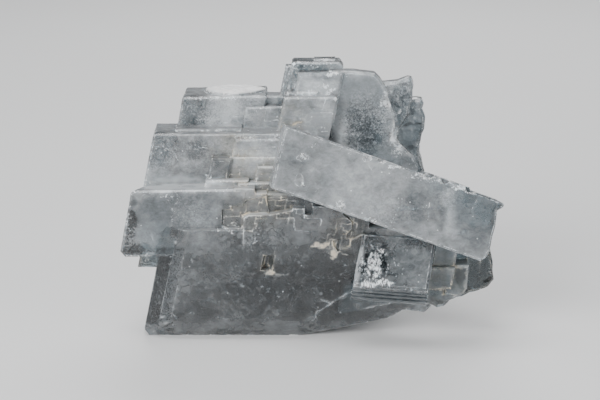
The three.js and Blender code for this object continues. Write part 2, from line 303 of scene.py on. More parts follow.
class FineMesh:
    """Small triangles over all the facets, which share the points along their common edges."""

    def __init__(self, corners, facets, spacing_of, lines_of, seed):
        self.points = [corners]
        self.count = len(corners)
        self.triangles = []
        self.members = []
        rng = np.random.default_rng(seed)
        spacing = [spacing_of(f) for f in facets]
        finest = {}
        for f, step in zip(facets, spacing):
            for a, b in f.edges:
                finest[pair(a, b)] = min(step, finest.get(pair(a, b), EDGE_STEP))
        chains = {}
        for (start, end), step in finest.items():
            run = corners[end] - corners[start]
            pieces = max(1, round(np.linalg.norm(run) / step))
            share = np.arange(1, pieces)[:, None] / pieces
            chains[start, end] = [start, *self.add(corners[start] + share * run), end]
        for f, step in zip(facets, spacing):
            self.fill(f, step, chains, lines_of(f), rng)
        self.points = np.concatenate(self.points)
        self.triangles = np.concatenate(self.triangles)

    def add(self, points):
        self.points.append(points)
        self.count += len(points)
        return range(self.count - len(points), self.count)

    def fill(self, facet, spacing, chains, lines, rng):
        known = np.concatenate(self.points)
        self.points = [known]
        rim = []
        for a, b in facet.edges:
            chain = chains[pair(a, b)]
            chain = chain if chain[0] == a else chain[::-1]
            rim += zip(chain[:-1], chain[1:])
        ids, local = np.unique(rim, return_inverse=True)
        local = local.reshape(-1, 2)
        outline = facet.flat(known[ids])
        starts, ends = (facet.flat(known[[edge[side] for edge in facet.edges]]) for side in (0, 1))
        extra = NO_POINTS
        if facet.area > 3 * spacing**2:
            run = outline[local[:, 1]] - outline[local[:, 0]]
            inwards = np.stack([-run[:, 1], run[:, 0]], axis=1) / np.linalg.norm(run, axis=1)[:, None]
            guard = outline[local].mean(axis=1) + GUARD * inwards
            grid = hex_points(outline.min(axis=0), outline.max(axis=0), spacing, rng)
            rows = []
            # Each kind of point, how far it stays from the outline and how far from the other points.
            for points, from_edge, gap in ((lines, FROM_EDGE, CLOSEST), (guard, 0.8 * GUARD, CLOSEST),
                                           (grid, APART * spacing, APART * spacing)):
                points = points[inside(points, starts, ends)]
                rows.append((points[clearance(points, starts, ends) > from_edge], gap))
            extra = thinned(rows)
        flat = np.concatenate([outline, extra])
        made = delaunay_2d_cdt([Vector(p) for p in flat], local.tolist(), [], 0, 1e-6, True)
        where, faces, sources = np.array([tuple(p) for p in made[0]]), made[2], made[3]
        ids = np.concatenate([ids, list(self.add(facet.solid(extra)))]).astype(int)
        # A point that the triangulation made is taken for the nearest one that it was given.
        lookup = np.array([
            ids[source[0] if source else np.argmin(((flat - p) ** 2).sum(axis=1))]
            for p, source in zip(where, sources)
        ])
        faces = np.array(faces).reshape(-1, 3)
        faces = faces[inside(where[faces].mean(axis=1), starts, ends)]
        a, b, c = (where[faces[:, i]] for i in range(3))
        turn = (b[:, 0] - a[:, 0]) * (c[:, 1] - a[:, 1]) - (b[:, 1] - a[:, 1]) * (c[:, 0] - a[:, 0])
        faces[turn < 0] = faces[turn < 0][:, ::-1]
        faces = proper(lookup[faces[abs(turn) > SLIVER]])
        self.triangles.append(faces)
        self.members.append(np.unique(faces))


# ---- Soft regions of the frame, in mm ----

LEAN = math.tan(math.radians(90 - 78.4))  # barite's prism angle: how a tablet's side edges lean


def in_block(points, low, high, soft=1.2):
    """1 inside a block whose left and right sides lean as barite's prism faces do. x is given at z = 0."""
    leaned = points - LEAN * points[:, 2:] * np.array([1.0, 0, 0])
    within = np.minimum(leaned - low, np.array(high) - leaned).min(axis=1)
    return smooth(-soft / 2, soft / 2, within)


def total_near(points, zones):
    """The strongest of the zones at each point. A zone is a soft ellipsoid: the x, y and z of its centre,
    its three radii and its strength."""
    total = np.zeros(len(points))
    for *place, strength in zones:
        away = np.linalg.norm((points - place[:3]) / place[3:], axis=1)
        total = np.maximum(total, strength * (1 - smooth(0.45, 1.1, away)))
    return total


# ---- Growth steps and lamellae ----

RAMP = 0.14  # width in mm of the slope at a growth step
LINE_STEP = 0.32  # spacing in mm of the mesh along a growth step
ROWS = (-0.22, -0.07, 0.07, 0.22)  # where the mesh's rows run beside a growth step, in mm


def uneven(low, high, sizes, rng):
    """Rising numbers from low to past high, with uneven gaps."""
    marks = [low]
    while marks[-1] < high:
        marks.append(marks[-1] + rng.uniform(*sizes))
    return np.array(marks)


def cell_of(marks, at):
    return np.clip(np.searchsorted(marks, at) - 1, 0, len(marks) - 2)


def blend(marks, at):
    """The cell that each number is in, its nearest neighbour, and that one's share at the slope between."""
    cell = cell_of(marks, at)
    below = np.clip(0.5 - (at - marks[cell]) / RAMP, 0, 1)
    above = np.clip(0.5 - (marks[cell + 1] - at) / RAMP, 0, 1)
    beside = np.clip(np.where(below > above, cell - 1, cell + 1), 0, len(marks) - 2)
    return cell, beside, np.maximum(below, above)


class Plain:
    """A face without relief. Each kind of relief says how deep it is, how far it is to the nearest step's
    white rim, and where on the face the mesh needs points."""

    def depth(self, points):
        return np.zeros(len(points))

    def rim(self, points):
        return far(points)

    def lines(self, facet):
        return NO_POINTS


class GrowthSteps(Plain):
    """Low terraces let into a face that looks along the crystal's y. Their levels are the cells of an uneven
    rhombic grid, so that their outlines run along x or along the prism's lean, and turn in small jogs."""

    def __init__(self, facet, axes, style, rng):
        self.axes = axes
        self.depth_each = style["step_depth"]
        s, z = self.sheared(facet.ring)
        self.columns = uneven(s.min() - 1.5, s.max() + 1, style["step_cell"], rng)
        self.rows = uneven(z.min() - 1.5, z.max() + 1, style["step_cell"], rng)
        s, z = np.meshgrid(self.columns[:-1], self.rows[:-1], indexing="ij")
        centres = self.placed(facet, s.ravel() + 0.6, z.ravel() + 0.6)
        busy = total_near(centres, style["busy_zones"]).reshape(s.shape)
        lumps = cloud_noise(centres, style["step_lumps"], style["seed"], 1).reshape(s.shape)
        self.levels = np.floor(style["most_steps"] * busy * smooth(0.2, 0.85, lumps))

    def sheared(self, points):
        x, z = points @ self.axes[0], points @ self.axes[2]
        return x - LEAN * z, z

    def placed(self, facet, s, z):
        points = (s + LEAN * z)[:, None] * self.axes[0] + z[:, None] * self.axes[2]
        short = (facet.origin - points) @ facet.normal / (self.axes[1] @ facet.normal)
        return points + short[:, None] * self.axes[1]

    def wander(self, points):
        return wandering(points, 0.4, 1.3)

    def depth(self, points):
        s, z = self.sheared(self.wander(points))
        i, i_beside, i_share = blend(self.columns, s)
        j, j_beside, j_share = blend(self.rows, z)
        here, there = (
            (1 - i_share) * self.levels[i, row] + i_share * self.levels[i_beside, row]
            for row in (j, j_beside)
        )
        return self.depth_each * ((1 - j_share) * here + j_share * there)

    def rim(self, points):
        s, z = self.sheared(self.wander(points))
        closest = far(points)
        i, j = cell_of(self.columns, s), cell_of(self.rows, z)
        last = np.array(self.levels.shape) - 1
        for di, dj, away in ((-1, 0, s - self.columns[i]), (1, 0, self.columns[i + 1] - s),
                             (0, -1, z - self.rows[j]), (0, 1, self.rows[j + 1] - z)):
            beside = self.levels[np.clip(i + di, 0, last[0]), np.clip(j + dj, 0, last[1])]
            closest = np.where(beside != self.levels[i, j], np.minimum(closest, abs(away)), closest)
        return closest

    def lines(self, facet):
        found = []
        for turn, across, along in ((1, self.columns, self.rows), (-1, self.rows, self.columns)):
            levels = self.levels if turn == 1 else self.levels.T
            for i, j in np.argwhere(levels[1:] != levels[:-1]):
                start, end = along[j], along[j + 1]
                run = np.linspace(start, end, max(2, int((end - start) / LINE_STEP)), endpoint=False)
                for out in ROWS:
                    found.append(np.stack([np.full(len(run), across[i + 1] + out), run][::turn], axis=1))
        if not found:
            return NO_POINTS
        goal = self.placed(facet, *np.concatenate(found).T)
        points = goal
        for _ in range(4):  # each round brings the points closer to where the wandering step runs
            points = goal - (self.wander(points) - points)
        return facet.flat(points - ((points - facet.origin) @ facet.normal)[:, None] * facet.normal)


class Lamellae(Plain):
    """Thin growth layers that show as ledges along the sides of a tablet, each at its own y."""

    def __init__(self, facet, axes, style, rng):
        self.axis = axes[1]
        y = facet.ring @ self.axis
        self.edges = []
        self.levels = [0.0]
        at = y.min() + rng.uniform(0.3, 1.0)
        while at < y.max() - 0.3:
            self.edges.append(at)
            self.levels.append(rng.uniform(0, 1) ** 1.5 * style["lamella_depth"])
            at += rng.uniform(*style["lamella_width"])

    def depth(self, points):
        y = points @ self.axis
        total = np.full(len(points), self.levels[0])
        for edge, before, after in zip(self.edges, self.levels[:-1], self.levels[1:]):
            total += (after - before) * np.clip((y - edge) / RAMP + 0.5, 0, 1)
        return total

    def lines(self, facet):
        slope = np.array([self.axis @ facet.u, self.axis @ facet.v])
        steepness = np.linalg.norm(slope)
        if not self.edges or steepness < 0.15:
            return NO_POINTS
        across = slope / steepness
        along = np.array([-across[1], across[0]])
        run = facet.flat(facet.ring) @ along
        share = np.arange(run.min(), run.max(), LINE_STEP)[:, None]
        start = facet.origin @ self.axis
        return np.concatenate([
            (edge + out - start) / steepness * across + share * along
            for edge in self.edges for out in (-RAMP / 2, RAMP / 2)
        ])


NARROW = 0.9  # mm: narrower facets have no relief


def relief_of(facet, axes, style, rng):
    """Growth steps on the crystal's broad faces, ledges on its sides, and nothing where it rests."""
    facing, upright = abs(facet.normal @ axes[1]), abs(facet.normal @ axes[2])
    resting = facet.normal[2] < -0.9 and facet.centre[2] < 0.2
    if resting or facet.breadth < NARROW:
        return Plain()
    if facing > 0.97:
        return GrowthSteps(facet, axes, style, rng)
    if facing < 0.3 and not (style["plain_roofs"] and upright > 0.6):
        return Lamellae(facet, axes, style, rng)
    return Plain()


# ---- The three crystals ----

PLATE, BLOCK = -14.8, -13.4  # where the lower plate's and the left block's faces are, in y

BUSY_ZONES = [
    (-13, -12, 32, 12, 6, 7, 1), (-21, -13, 33, 6, 4, 6, 0.5),  # the small steps in the middle
    (-12, -5, 42, 13, 8, 8, 0.6), (-14, 2, 50, 13, 9, 8, 0.45),  # the blocks behind them
    (-3, -15, 31, 10, 2, 3, 0.35), (9, -14, 27, 6, 4, 8, 0.7),  # the terrace and the channel
    (3, 2, 56, 8, 6, 9, 0.5), (0, 9, 63, 9, 5, 5, 0.7), (14, 6, 50, 8, 9, 12, 0.2),  # the stack and its right
    (33, -10, 17, 6, 6, 8, 0.6), (0, 22, 30, 40, 9, 30, 0.5),  # the small tablets, and the back
]
SMOOTH_FACES = {
    "busy_zones": [], "step_cell": (2, 4), "step_lumps": 6, "most_steps": 0, "step_depth": 0,
    "plain_roofs": False,
}
# Each crystal's own values, lengths in mm. turns: how it is turned about the frame's axes, in order, in
# degrees. cloud: how cloudy it is, 0 to 1. frost_grain: how much finer its frost's patches are in x, y and z.
STYLE = {
    "stepped_cluster": {
        "turns": [], "seed": 3, "front_spacing": 0.57, "back_spacing": 1.1,
        "busy_zones": BUSY_ZONES, "step_cell": (0.6, 1.5), "step_lumps": 5.0, "most_steps": 5,
        "step_depth": 0.065, "plain_roofs": True, "lamella_width": (0.8, 2.6), "lamella_depth": 0.13,
        "cloud": 0.64, "edge_frost": 0.2, "frost_grain": (1, 1, 1),
    },
    "long_blade": {
        "turns": [("X", -11), ("Y", 20)], "seed": 5, "front_spacing": 0.5, "back_spacing": 0.9,
        **SMOOTH_FACES, "lamella_width": (0.8, 3), "lamella_depth": 0.15,
        "cloud": 0.66, "edge_frost": 0.45, "frost_grain": (1, 1, 1),
    },
    "clear_tablet": {
        "turns": [("Y", 5.3), ("X", -37), ("Z", 2.3)], "seed": 7, "front_spacing": 0.35, "back_spacing": 0.6,
        **SMOOTH_FACES, "lamella_width": (0.5, 1.4), "lamella_depth": 0.03,
        "cloud": 0.36, "edge_frost": 0.3, "frost_grain": (1.6, 1, 0.3),
    },
}


def turned(turns):
    """The crystal's own x, y and z."""
    total = Matrix.Identity(3)
    for axis, degrees in turns:
        total = Matrix.Rotation(math.radians(degrees), 3, axis) @ total
    return np.array(total).T


# ---- Edges and seams ----

HAIRLINE = 0.12  # mm: edges of facets narrower than this aren't marked
# Edges that bend by less than 20 degrees aren't marked, and those that bend by more than 40 are sharp.
RIDGE, SHARP = (math.cos(math.radians(bend)) for bend in (20, 40))
EDGE_SAMPLE = 0.4  # mm between the samples along an edge


def marked_edges(corners, facets):
    """Points along the solid's ridges, along the sharpest of them, and along its inner corners."""
    owners = {}
    for i, facet in enumerate(facets):
        for a, b in facet.edges:
            owners.setdefault(pair(a, b), []).append(i)
    ridges, sharp, creases = [], [], []
    for (a, b), sharing in owners.items():
        if len(sharing) != 2:
            continue
        one, two = (facets[i] for i in sharing)
        bend = one.normal @ two.normal
        if min(one.breadth, two.breadth) < HAIRLINE or bend > RIDGE:
            continue
        middle, run = (corners[a] + corners[b]) / 2, corners[b] - corners[a]
        share = np.linspace(0, 1, max(2, int(np.linalg.norm(run) / EDGE_SAMPLE)))[:, None]
        samples = corners[a] + share * run
        bent_out = (two.centre - middle) @ one.normal + (one.centre - middle) @ two.normal < 0
        (ridges if bent_out else creases).append(samples)
        if bent_out and bend < SHARP:
            sharp.append(samples)
    found = {"ridge": ridges, "sharp": sharp, "crease": creases}
    return {kind: np.concatenate(samples) for kind, samples in found.items()}


def distance_to(points, samples):
    tree = KDTree(len(samples))
    for i, p in enumerate(samples):
        tree.insert(p, i)
    tree.balance()
    return np.array([tree.find(p)[2] for p in points])


# Fine cracks and seams on the faces: [points along it in mm, how far it wanders in mm].
SEAMS = {
    "stepped_cluster": [
        # the lower plate: a long slanting crack, short ones, and the borders of its bevels
        ([(10.2, PLATE, 13.1), (4.9, PLATE, 9.9), (1.9, PLATE, 7.6), (0.3, -13.6, 4.5)], 0.5),
        ([(4.9, PLATE, 9.9), (2.6, PLATE, 10.9)], 0.5),
        ([(-17, PLATE, 27.3), (-14.6, PLATE, 26.2), (-12.4, PLATE, 27.6)], 0.9),
        ([(-16.2, PLATE, 25.8), (-13.4, PLATE, 25.4)], 0.9),
        ([(-9.6, PLATE, 18.4), (-7.9, PLATE, 17.6), (-5.6, PLATE, 18)], 0.8),
        ([(-37.4, PLATE, 28.7), (-29, PLATE, 28.8), (-21.4, PLATE, 29)], 0.08),
        ([(-38.25, -13.2, 6), (-34.95, -13.3, 22)], 0.05),
        ([(-35.45, -14.7, 6), (-32.15, PLATE, 22)], 0.05),
        ([(-10.3, PLATE, 18.7), (-9.8, PLATE, 21), (-8.6, PLATE, 25)], 0.4),
        ([(-10.6, PLATE, 9.3), (-9.2, PLATE, 7.2)], 0.6),
        ([(14.6, PLATE, 26), (17.4, PLATE, 22.8)], 0.7),
        # the left block and the stepped blocks behind it
        ([(-33.6, BLOCK, 38), (-33.2, BLOCK, 36.2), (-34.1, BLOCK, 35)], 1.2),
        ([(-40.4, BLOCK, 27.8), (-39.8, BLOCK, 25.8)], 0.4),
        ([(-37, -4, 47.6), (-34.6, -4, 46.6), (-33.6, -4, 44.4)], 0.9),
        ([(-28.5, -4, 47.6), (-25, -4, 47.2)], 0.8),
        ([(-29.6, 6.4, 52.8), (-26, 6.4, 53.4)], 0.9),
        # the front step below the stack, and the right foot
        ([(-7.6, 0.2, 52.4), (-4.4, 0.2, 53), (-1.8, 0.2, 53.6)], 0.6),
        ([(-6.6, 0.2, 52.2), (-4, 0.2, 52.6), (-2.6, 0.2, 52.4)], 0.6),
        ([(43.5, -6.2, 19.5), (43.2, -6.3, 15)], 0.5),
        ([(0, 0.2, 55.9), (5.6, 0.2, 56)], 0.15), ([(0.6, 0.2, 55), (6, 0.2, 54.9)], 0.15),
        # the upper right plate
        ([(6.6, 5.2, 49.8), (9.5, 5.2, 49.3), (12.3, 5.2, 49), (15.4, 5.2, 48.2)], 0.5),
        ([(18, 5.2, 48.2), (20.4, 5.2, 47.4), (22.2, 5.4, 45.9)], 0.5),
        ([(8.6, 5.2, 54.4), (9.4, 5.2, 51.6)], 0.7),
        ([(13, 5.2, 55), (13.6, 5.2, 53.2), (12.6, 5.2, 51.6)], 0.9),
    ],
    "long_blade": [
        ([(28.6, -21.6, 33), (29.4, -20.8, 38)], 0.8), ([(40, -21, 34), (40.8, -20.6, 38.6)], 0.9),
        ([(14.2, -20.4, 47.4), (15.2, -20.6, 45.6)], 0.8),
    ],
    "clear_tablet": [],
}
# Shallow shell-shaped hollows: the x, y and z of the centre, the radii across and up, and the depth, in mm.
HOLLOWS = {
    "stepped_cluster": [(19.6, 5.2, 57.4, 1.5, 1.8, 0.4), (-17.8, BLOCK, 28.6, 1.3, 1.1, 0.15)],
    "long_blade": [
        (-2, -21.6, 49.3, 1.5, 1.0, 0.3), (-2.9, -22.6, 43.8, 1.0, 1.7, 0.25),
        (13.9, -20.6, 48.9, 1.2, 1.0, 0.5), (7.4, -23, 37.5, 0.9, 1.2, 0.3), (14.8, -23, 33.4, 1.3, 0.9, 0.4),
    ],
    "clear_tablet": [(16.4, -20.6, 19.4, 0.9, 1.8, 0.3)],
}
SEAM_STEP = 0.25  # mm between the samples along a seam
SEAM_ROWS = ((0, 0), (0.14, 0), (-0.14, 0), (0, 0.14), (0, -0.14))  # mesh points round each sample
OFF_FACE = 0.9  # mm: how far off a face a seam on it may run


def seam_samples(name):
    """Points along the crystal's seams and round its hollows."""
    found = [np.empty((0, 3))]
    for path, reach in SEAMS[name]:
        for start, end in zip(np.array(path[:-1]), np.array(path[1:])):
            count = max(2, int(np.linalg.norm(end - start) / SEAM_STEP))
            share = np.linspace(0, 1, count, endpoint=False)[:, None]
            found.append(wandering(start + share * (end - start), reach, 1.5))
    for *centre, across, up, _ in HOLLOWS[name]:
        turn = np.linspace(0, 2 * math.pi, int(6 * (across + up) / SEAM_STEP / 2), endpoint=False)
        ring = np.stack([across * np.cos(turn), 0 * turn, up * np.sin(turn)], axis=1)
        found.append(wandering(np.array(centre) + 0.95 * ring, 0.35, 1.2))
    return np.concatenate(found)


def seams_on(facet, samples):
    """The samples that lie on the facet's plane, in its flat coordinates."""
    return facet.flat(samples[abs((samples - facet.origin) @ facet.normal) < OFF_FACE])


def vertex_normals(points, triangles):
    cross = crossed(points, triangles)
    total = np.zeros_like(points)
    for i in range(3):
        np.add.at(total, triangles[:, i], cross)
    return total / np.maximum(np.linalg.norm(total, axis=1), 1e-12)[:, None]


def fine_crystal(name):
    """The crystal's fine mesh with its relief, and each point's distance to the edges, steps and seams."""
    style = STYLE[name]
    axes = turned(style["turns"])
    corners, triangles = welded(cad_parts[name])
    facets = facets_of(corners, triangles, axes)
    rng = np.random.default_rng(style["seed"])
    for facet in facets:
        facet.relief = relief_of(facet, axes, style, rng)
    seams = seam_samples(name)

    def spacing_of(facet):
        seen = facet.normal[1] < 0.3 and facet.normal[2] > -0.8
        return style["front_spacing"] if seen else style["back_spacing"]

    def lines_of(facet):
        on_facet = seams_on(facet, seams)
        return np.concatenate([facet.relief.lines(facet)] + [on_facet + shift for shift in SEAM_ROWS])

    fine = FineMesh(corners, facets, spacing_of, lines_of, style["seed"])
    points = fine.points
    offset = np.zeros_like(points)
    to_step, to_seam = far(points), far(points)
    for facet, members in zip(facets, fine.members):
        offset[members] -= facet.relief.depth(points[members])[:, None] * facet.normal
        to_step[members] = np.minimum(to_step[members], facet.relief.rim(points[members]))
        flat = facet.flat(points[members])
        for sample in seams_on(facet, seams):
            to_seam[members] = np.minimum(to_seam[members], np.linalg.norm(flat - sample, axis=1))
    distance = {kind: distance_to(points, samples) for kind, samples in marked_edges(corners, facets).items()}
    distance |= {"step": to_step, "seam": to_seam}
    return points + offset, fine.triangles, vertex_normals(points, fine.triangles), distance


# ---- How cloudy, cracked, stained and worn each place is ----

# How cloudy each block is, where it isn't as cloudy as the rest: [lowest corner, highest, cloudiness].
BLOCKS = {
    "lower plate": ([-44, -17, -1], [26, -10, 29], 0.36),
    "terrace": ([-30, -16, 27], [14, -11, 37], 0.42),
    "small steps": ([-36, -11, 33], [2, -3, 44], 0.52),
    "upper left block": ([-50, 3, 36], [-22, 20, 62], 0.74),
    "upper right plate": ([-4, 4, 36], [20, 12, 66], 0.72),
    "shards": ([8, 8.5, 28], [30, 20, 64], 0.6),
    "right foot": ([30, -7, -1], [50, 4, 27], 0.3),
    "small tablets": ([26, -17, 4], [36, -9, 28], 0.6),
    "square tablet": ([-34.3, -8.5, 40.6], [-28.6, -3, 46.2], 0.46),
    "stack": ([-22, 5, 60], [-4, 16, 69], 0.6),
}
